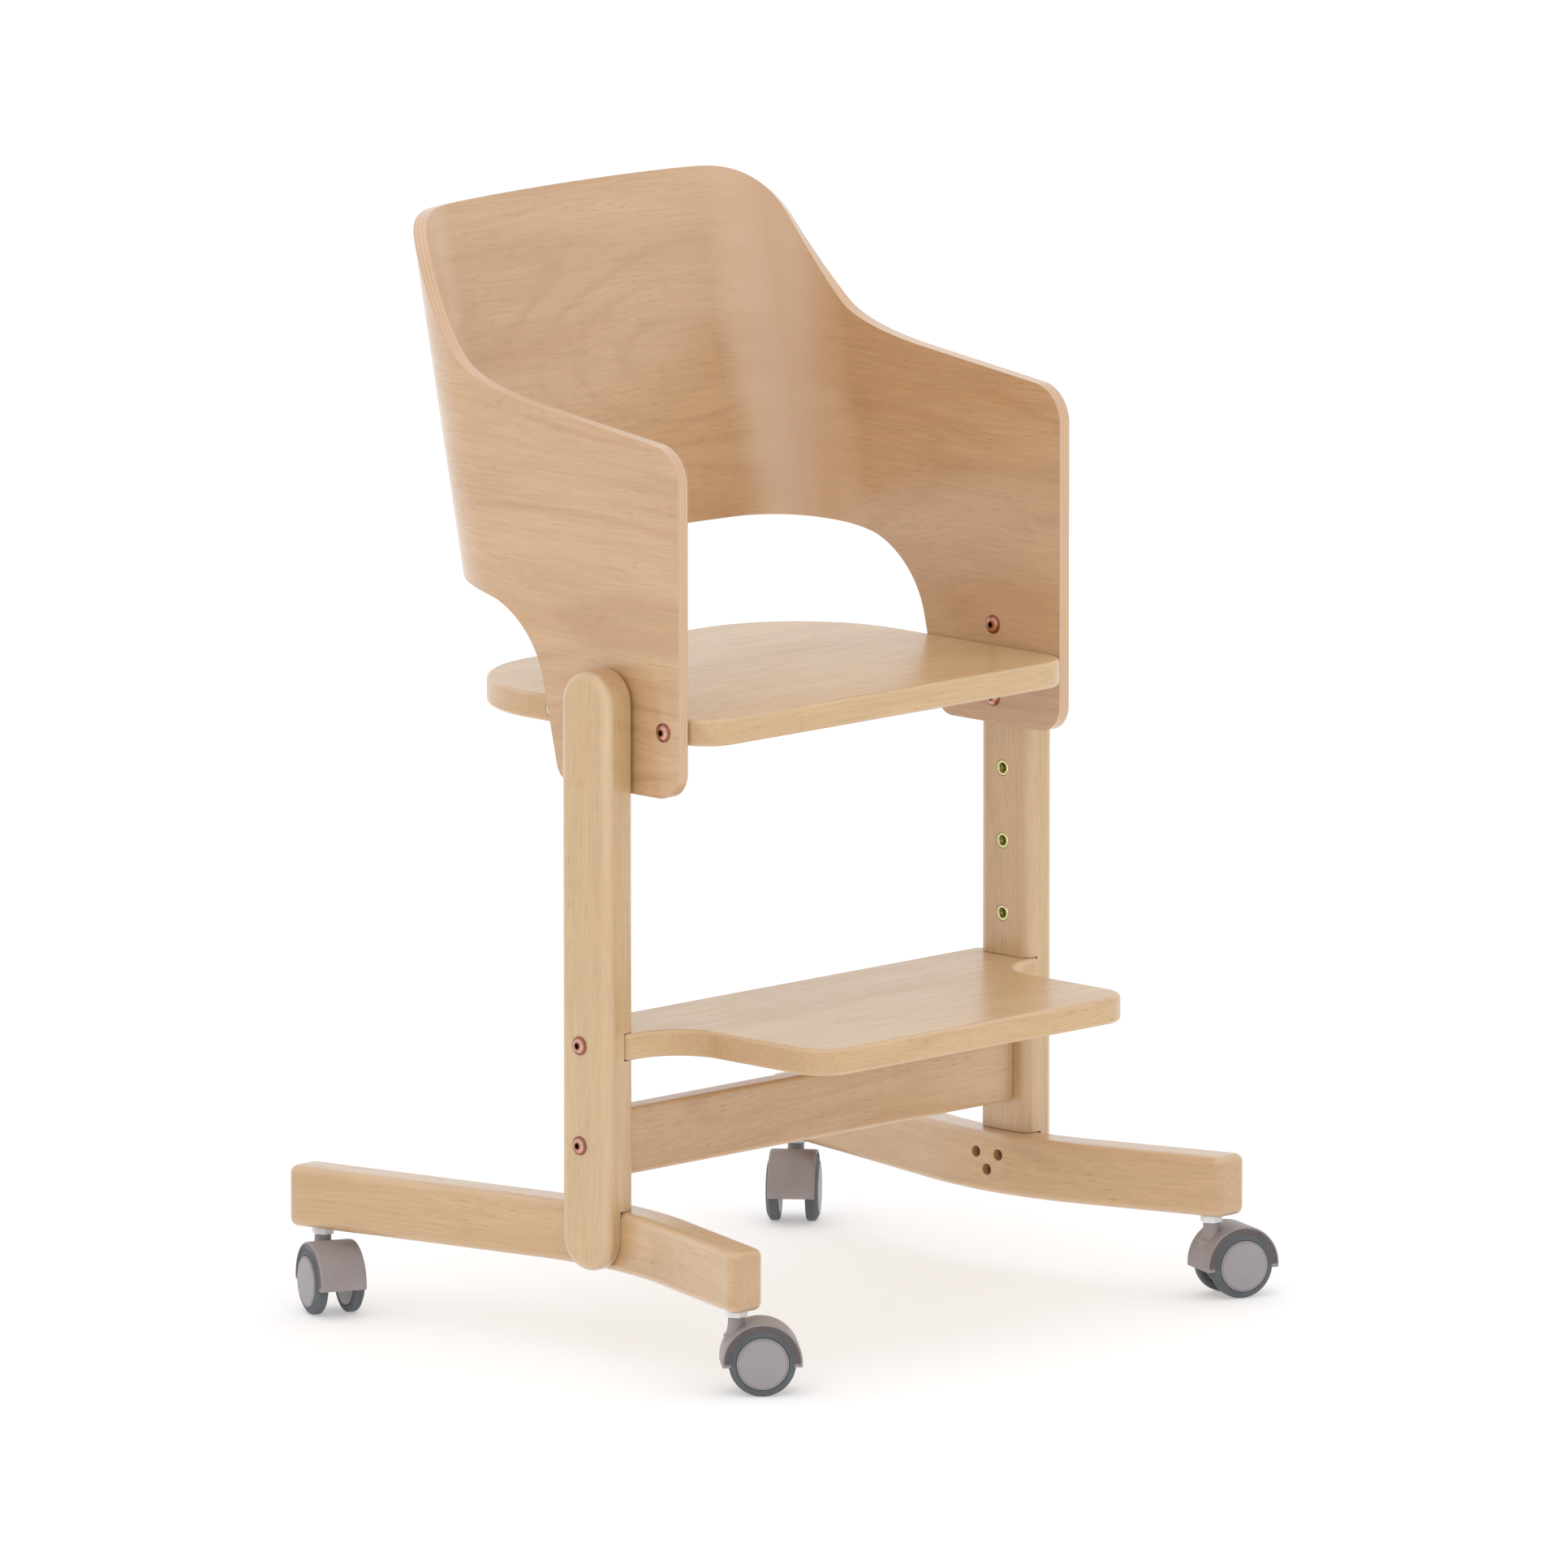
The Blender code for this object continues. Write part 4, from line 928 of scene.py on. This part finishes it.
def runner_places(spot, normal):
    """Grain that follows the runner's bend."""
    side = 1.0 if spot.x >= 0.0 else -1.0
    reach = Vector((RUNNER_INNER + RUNNER_BEND_RADIUS - abs(spot.x), spot.y - RUNNER_BEND_Y))
    angle = math.atan2(reach.y, reach.x)
    held = max(-RUNNER_FRONT_SPLAY, min(RUNNER_REAR_SPLAY, angle))
    radial, tangent = Vector((math.cos(held), math.sin(held))), Vector((-math.sin(held), math.cos(held)))
    along = RUNNER_BEND_RADIUS * held + reach.dot(tangent)
    depth = RUNNER_BEND_RADIUS - reach.dot(radial)
    end = (normal.y * tangent.y - abs(normal.x) * tangent.x) ** 2 if abs(normal.y) > 0.5 else 0.0
    return (along + 3.0 * side, spot.z, depth + 0.7 * side), (rounding(abs(normal.z)), end, 0.0)


def build_runner(label, side):
    corners = []
    for face in (runner_face(0.0), reversed(runner_face(RUNNER_THICKNESS))):
        points = list(face)
        for point in points:
            radius = RUNNER_CORNER if point in (points[0], points[-1]) else 0.0
            corners.append((side * point.x, point.y, radius))
    mesh = board("runner", rounded_outline(corners, 10), RUNNER_BOTTOM, RUNNER_BOTTOM + RUNNER_HEIGHT,
                 RUNNER_EDGE_RADIUS, 6)
    cuts = [hole((side * RUNNER_INNER, y * MM, z * MM), -side, (SCREW_RECESS_RADIUS, SCREW_RECESS_DEPTH))
            for y, z in SCREW_PLACES]
    for caster_side, y, x, _ in CASTERS.values():
        if caster_side == side:
            stem_hole = cylinder("stem hole", STEM_RADIUS + GAP, RUNNER_BOTTOM - THROUGH, STEM_TOP + THROUGH)
            stem_hole.transform(Matrix.Translation((side * x, y, 0.0)))
            cuts.append(stem_hole)
    mesh = smoothed(carve(mesh, cuts))
    mark(mesh, runner_places)
    settle(f"runner_{label}_fine", mesh, "frame", RUNNER, f"runner_{label}")


# ---- fasteners
def bolt_mesh(length):
    """A dome-headed bolt with a hexagon socket; the head stands on z = 0 and the shank runs down."""
    radius = (BOLT_HEAD_RADIUS ** 2 + BOLT_HEAD_HEIGHT ** 2) / (2 * BOLT_HEAD_HEIGHT)
    rim_angle = math.asin(BOLT_HEAD_RADIUS / radius)
    lip = 0.35 * MM
    dome = []
    for step in range(13):
        angle = rim_angle * step / 12
        dome.append((radius * math.sin(angle), BOLT_HEAD_HEIGHT - radius * (1 - math.cos(angle))))
    dome = [(r, max(z, lip)) for r, z in dome[:-1]] + [(BOLT_HEAD_RADIUS, lip), (BOLT_HEAD_RADIUS, 0.0)]
    shank = [(BOLT_SHANK_RADIUS, 0.0), (BOLT_SHANK_RADIUS, -length + 0.6 * MM),
             (BOLT_SHANK_RADIUS - 0.6 * MM, -length), (0.0, -length)]
    bolt = lathe("bolt", dome + shank, 40)
    floor = BOLT_HEAD_HEIGHT - SOCKET_DEPTH
    mouth = BOLT_HEAD_HEIGHT - 0.25 * MM
    socket = lathe("socket", [(0.0, BOLT_HEAD_HEIGHT + THROUGH),
                              (SOCKET_RADIUS + 1.0 * MM, BOLT_HEAD_HEIGHT + THROUGH), (SOCKET_RADIUS, mouth),
                              (SOCKET_RADIUS, floor), (0.0, floor - 0.5 * MM)], 6)
    return smoothed(carve(bolt, [socket]))


def insert_mesh():
    """A flanged threaded insert; its flange's face is at z = 0 and its body runs down."""
    flange, body, bore_radius = INSERT_FLANGE_RADIUS, INSERT_RADIUS, INSERT_BORE_RADIUS
    under = -INSERT_FLANGE_THICKNESS
    outside = [(flange - 0.4 * MM, 0.0), (flange, -0.35 * MM), (flange, under), (body, under),
               (body, -INSERT_LENGTH)]
    inside = []
    threads, pitch, tooth = 11, 1.0 * MM, 0.3 * MM
    for turn in range(threads):
        z = -INSERT_LENGTH + 0.8 * MM + turn * pitch
        inside += [(bore_radius + tooth, z), (bore_radius, z + pitch / 2)]
    mouth = [(bore_radius + 0.2 * MM, -0.6 * MM), (bore_radius + 0.7 * MM, 0.0)]
    start = [(bore_radius, -INSERT_LENGTH)]
    return smoothed(lathe("insert", outside + start + inside + mouth, 40, ring=True))


def screw_mesh():
    """A countersunk wood screw's head with a cross recess, facing +z at z = 0."""
    radius = SCREW_RECESS_RADIUS - GAP
    profile = [(0.0, 0.0), (radius - 0.3 * MM, 0.0), (radius, -0.3 * MM), (2.0 * MM, -2.8 * MM),
               (1.9 * MM, -3.6 * MM), (0.0, -3.6 * MM)]
    head = lathe("screw", profile, 32)
    arm, half = 2.4 * MM, 0.5 * MM
    cuts = [block("arm", (-arm, -half, -1.4 * MM), (arm, half, THROUGH)),
            block("arm", (-half, -arm, -1.4 * MM), (half, arm, THROUGH))]
    return smoothed(carve(head, cuts))


def build_fasteners():
    short, long_bolt = bolt_mesh(BOLT_LENGTH), bolt_mesh(LONG_BOLT_LENGTH)
    insert, screw = insert_mesh(), screw_mesh()
    heights = insert_heights()
    seat_middle = SEAT_TOP - SEAT_THICKNESS / 2
    shell_inside = SHELL_HALF_WIDTH - SHELL_THICKNESS - GAP
    shell_outside = SHELL_HALF_WIDTH + GAP
    post_outside = POST_INNER + POST_THICKNESS + GAP

    def fasten(node, mesh, spot, heading, finish, spin=0.0):
        matrix = Matrix.Translation(spot) @ along_x(heading) @ Matrix.Rotation(spin, 4, "Z")
        fit(node, mesh, "frame", finish, matrix)

    for label, side in SIDES.items():
        for number, index in enumerate(SHELL_BOLT_INSERTS, 1):
            fasten(f"shell_bolt_{label}_{number}", short, (side * shell_inside, 0.0, heights[index]), -side,
                   BOLT, 0.4 * number)
        for number, y in enumerate(SEAT_BOLT_YS, 1):
            fasten(f"seat_bolt_{label}_{number}", short, (side * shell_outside, y, seat_middle), side,
                   BOLT, 0.7 * number)
        for rail, z in (("footrest", footrest_middle()), ("crossbar", crossbar_bolt_z())):
            fasten(f"{rail}_bolt_{label}", long_bolt, (side * post_outside, LOWER_BOLT_Y, z), side,
                   BOLT, 9.0 * z)
        for number, z in enumerate(heights, 1):
            fasten(f"post_insert_{label}_{number}", insert, (side * POST_INNER, 0.0, z), -side,
                   BRASS)
        fasten(f"seat_insert_{label}", insert, (side * SEAT_HALF_WIDTH, SEAT_INSERT_Y, seat_middle), side,
               BRASS)
        for number, (y, z) in enumerate(SCREW_PLACES, 1):
            matrix = Matrix.Translation((side * (RUNNER_INNER + 6.0 * MM), y * MM, z * MM))
            matrix = matrix @ along_x(-side) @ Matrix.Rotation(0.5 * number, 4, "Z")
            settle(f"runner_screw_{label}_{number}", screw.copy(), "frame", SCREW, None,
                   matrix)


# ---- casters
def tyre_mesh():
    """The grey tread ring; z is the distance from the caster's middle plane."""
    radius = AXLE_HEIGHT
    profile = [(TYRE_BORE, TYRE_FACE - 0.4 * MM), (TYRE_BORE + 0.5 * MM, TYRE_FACE),
               (radius - 0.7 * MM, TREAD_EDGE), (radius, TREAD_EDGE - 1.4 * MM),
               (radius, WHEEL_INNER + 1.2 * MM), (radius - 1.0 * MM, WHEEL_INNER), (TYRE_BORE, WHEEL_INNER)]
    return smoothed(lathe("tyre", softened(profile, 1.2 * MM, 3), 72, ring=True))


def hub_mesh():
    """The wheel's disc: a shallow dome inside a fine raised ring, with a blind bore for the axle."""
    rim, groove = HUB_RADIUS, 0.25 * MM
    dome = [(0.0, HUB_CROWN)]
    dome_edge = HUB_RADIUS - 1.6 * MM
    for step in range(1, 9):
        share = step / 8
        dome.append((dome_edge * share, HUB_CROWN - (HUB_CROWN - HUB_EDGE) * 0.75 * share ** 2))
    profile = dome + [(dome_edge + 0.2 * MM, HUB_EDGE - groove), (dome_edge + 0.6 * MM, HUB_EDGE - groove),
                      (dome_edge + 0.8 * MM, HUB_EDGE + 0.1 * MM), (rim - 0.3 * MM, HUB_EDGE + 0.1 * MM),
                      (rim, HUB_EDGE - 0.3 * MM), (rim, WHEEL_INNER), (HUB_BORE, WHEEL_INNER),
                      (HUB_BORE, HUB_BORE_END), (0.0, HUB_BORE_END)]
    return smoothed(lathe("hub", profile, 72))


def housing_mesh():
    """The hood over both wheels, the web between them and the neck that turns on the stem."""
    half, flat = HOOD_HALF_WIDTH, HOOD_HALF_WIDTH - HOOD_EASE
    crown = [(0.0, half)]
    for step in range(7):
        angle = math.pi / 2 * step / 6
        crown.append((HOOD_SIDE_RADIUS + (HOOD_RADIUS - HOOD_SIDE_RADIUS) * math.sin(angle),
                      flat + HOOD_EASE * math.cos(angle)))
    crown += [(r, -z) for r, z in reversed(crown)]
    drum = lathe("housing", crown, 96)
    axle_turn = Matrix.Translation((CASTER_TRAIL, 0.0, AXLE_HEIGHT)) @ Matrix.Rotation(-math.pi / 2, 4, "X")
    drum.transform(axle_turn)
    neck_profile = [(0.0, NECK_TOP), (NECK_RADIUS - 0.4 * MM, NECK_TOP), (NECK_RADIUS, NECK_TOP - 0.4 * MM)]
    shoulder, foot = 54.5 * MM, 43.5 * MM
    for step in range(9):
        angle = math.pi / 2 * step / 8
        neck_profile.append((NECK_FOOT_RADIUS - (NECK_FOOT_RADIUS - NECK_RADIUS) * math.cos(angle),
                             shoulder - (shoulder - foot) * math.sin(angle)))
    neck_profile += [(NECK_FOOT_RADIUS, NECK_BOTTOM), (0.0, NECK_BOTTOM)]
    neck = lathe("neck", neck_profile, 48)
    housing = carve(drum, [neck], "UNION")
    past = HOOD_HALF_WIDTH + THROUGH
    pockets = []
    for turn in (-1, 1):
        pocket = cylinder("pocket", POCKET_RADIUS, WEB_HALF_WIDTH, past, 96)
        pocket.transform(Matrix.Translation((CASTER_TRAIL, 0.0, AXLE_HEIGHT))
                         @ Matrix.Rotation(turn * math.pi / 2, 4, "X"))
        pockets.append(pocket)
    reach = CASTER_TRAIL + HOOD_RADIUS + THROUGH
    below = block("below", (-reach, -past, -WHEEL_RADIUS), (reach, past, AXLE_HEIGHT - HOOD_SKIRT))
    axle_bore = cylinder("axle bore", AXLE_RADIUS + GAP, -past, past)
    axle_bore.transform(axle_turn)
    pivot_bore = cylinder("pivot bore", PIVOT_BORE, PIVOT_BOTTOM - THROUGH, NECK_TOP + THROUGH)
    housing = carve(housing, pockets + [below, axle_bore, pivot_bore])
    return smoothed(chamfered(housing, 0.35 * MM))


def stem_mesh():
    """The pressed-in stem, its hexagon collar and the pivot pin that the neck turns on."""
    top, bottom, ease = RUNNER_BOTTOM - GAP, NECK_TOP + GAP, 0.5 * MM
    profile = [(0.0, top), (COLLAR_RADIUS - ease, top), (COLLAR_RADIUS, top - ease),
               (COLLAR_RADIUS, bottom + ease), (COLLAR_RADIUS - ease, bottom), (0.0, bottom)]
    collar = lathe("collar", profile, 6)
    pin = cylinder("pin", PIVOT_RADIUS, PIVOT_BOTTOM, RUNNER_BOTTOM - THROUGH)
    shaft = cylinder("shaft", STEM_RADIUS, NECK_TOP + THROUGH, STEM_TOP)
    return smoothed(carve(collar, [pin, shaft], "UNION"))


def axle_mesh():
    half, ease = AXLE_HALF_LENGTH, 0.4 * MM
    profile = [(0.0, half), (AXLE_RADIUS - ease, half), (AXLE_RADIUS, half - ease),
               (AXLE_RADIUS, ease - half), (AXLE_RADIUS - ease, -half), (0.0, -half)]
    return smoothed(lathe("axle", profile, 32))


def build_casters():
    stem, housing, axle, tyre, hub = stem_mesh(), housing_mesh(), axle_mesh(), tyre_mesh(), hub_mesh()
    for name, (side, y, x, trail) in CASTERS.items():
        foot = Matrix.Translation((side * x, y, 0.0))
        swivel = foot @ Matrix.Rotation(trail, 4, "Z")
        wheels = swivel @ Matrix.Translation((CASTER_TRAIL, 0.0, AXLE_HEIGHT))
        fit(f"{name}_stem", stem, "frame", ZINC, foot)
        fit(f"{name}_housing", housing, f"{name}_swivel", HOOD, swivel)
        fit(f"{name}_axle", axle, f"{name}_swivel", AXLE,
            wheels @ Matrix.Rotation(math.pi / 2, 4, "X"))
        for letter, turn in (("a", -math.pi / 2), ("b", math.pi / 2)):
            wheel = wheels @ Matrix.Rotation(turn, 4, "X")
            body = f"{name}_wheel_{letter}"
            fit(f"{name}_tyre_{letter}", tyre, body, TYRE, wheel)
            fit(f"{name}_hub_{letter}", hub, body, HUB, wheel)


# ---- studio
def build_floor():
    size = 60.0
    floor = loose("floor", mesh_from("floor", [(-size, -size, 0.0), (size, -size, 0.0), (size, size, 0.0),
                                               (-size, size, 0.0)], [(0, 1, 2, 3)]))
    made = Finish("studio_floor")
    made.set(Base_Color=(0.72, 0.725, 0.73, 1.0), Roughness=0.8, Emission_Color=(1.0, 0.988, 0.984, 1.0),
             Emission_Strength=0.33)
    made.shader.inputs["Specular IOR Level"].default_value = 0.15
    floor.data.materials.append(made.material)


def soft_light(name, energy, size, place, aim, color=(1.0, 1.0, 1.0)):
    light = bpy.data.lights.new(name, "AREA")
    light.shape = "RECTANGLE"
    light.size, light.size_y = size
    light.energy = energy
    light.color = color
    lamp = loose(name, light)
    lamp.location = place
    lamp.rotation_euler = (Vector(aim) - Vector(place)).to_track_quat("-Z", "Y").to_euler()


def build_studio():
    build_floor()
    world = bpy.data.worlds.new("studio")
    world.use_nodes = True
    backdrop = world.node_tree.nodes["Background"]
    backdrop.inputs["Color"].default_value = (1.0, 1.0, 1.0, 1.0)
    backdrop.inputs["Strength"].default_value = 0.97
    bpy.context.scene.world = world
    middle = (0.0, 0.0, 0.45)
    soft_light("key", 10.0, (2.2, 2.2), (-2.6, -1.6, 2.8), middle)
    soft_light("top", 8.0, (2.6, 2.6), (0.3, 0.2, 3.4), middle)
    bpy.context.scene.view_settings.view_transform = "Standard"


def build_camera():
    """Far off, from the front right of the child, a little above the seat."""
    azimuth, elevation, distance = math.radians(-45.0), math.radians(10.3), 18.09
    aim = Vector((-20.8, -18.8, 397.3)) * MM
    back = Vector((math.sin(azimuth) * math.cos(elevation), -math.cos(azimuth) * math.cos(elevation),
                   math.sin(elevation)))
    lens = bpy.data.cameras.new("camera")
    lens.sensor_width = 36.0
    lens.lens = 561.5
    lens.clip_end = 100.0
    camera = loose("camera", lens)
    camera.location = aim + back * distance
    camera.rotation_euler = (-back).to_track_quat("-Z", "Y").to_euler()
    bpy.context.scene.camera = camera


build_camera()
build_shell()
build_seat()
build_footrest()
build_crossbar()
for side_label, side_sign in SIDES.items():
    build_post(side_label, side_sign)
    build_runner(side_label, side_sign)
build_fasteners()
build_casters()
build_studio()
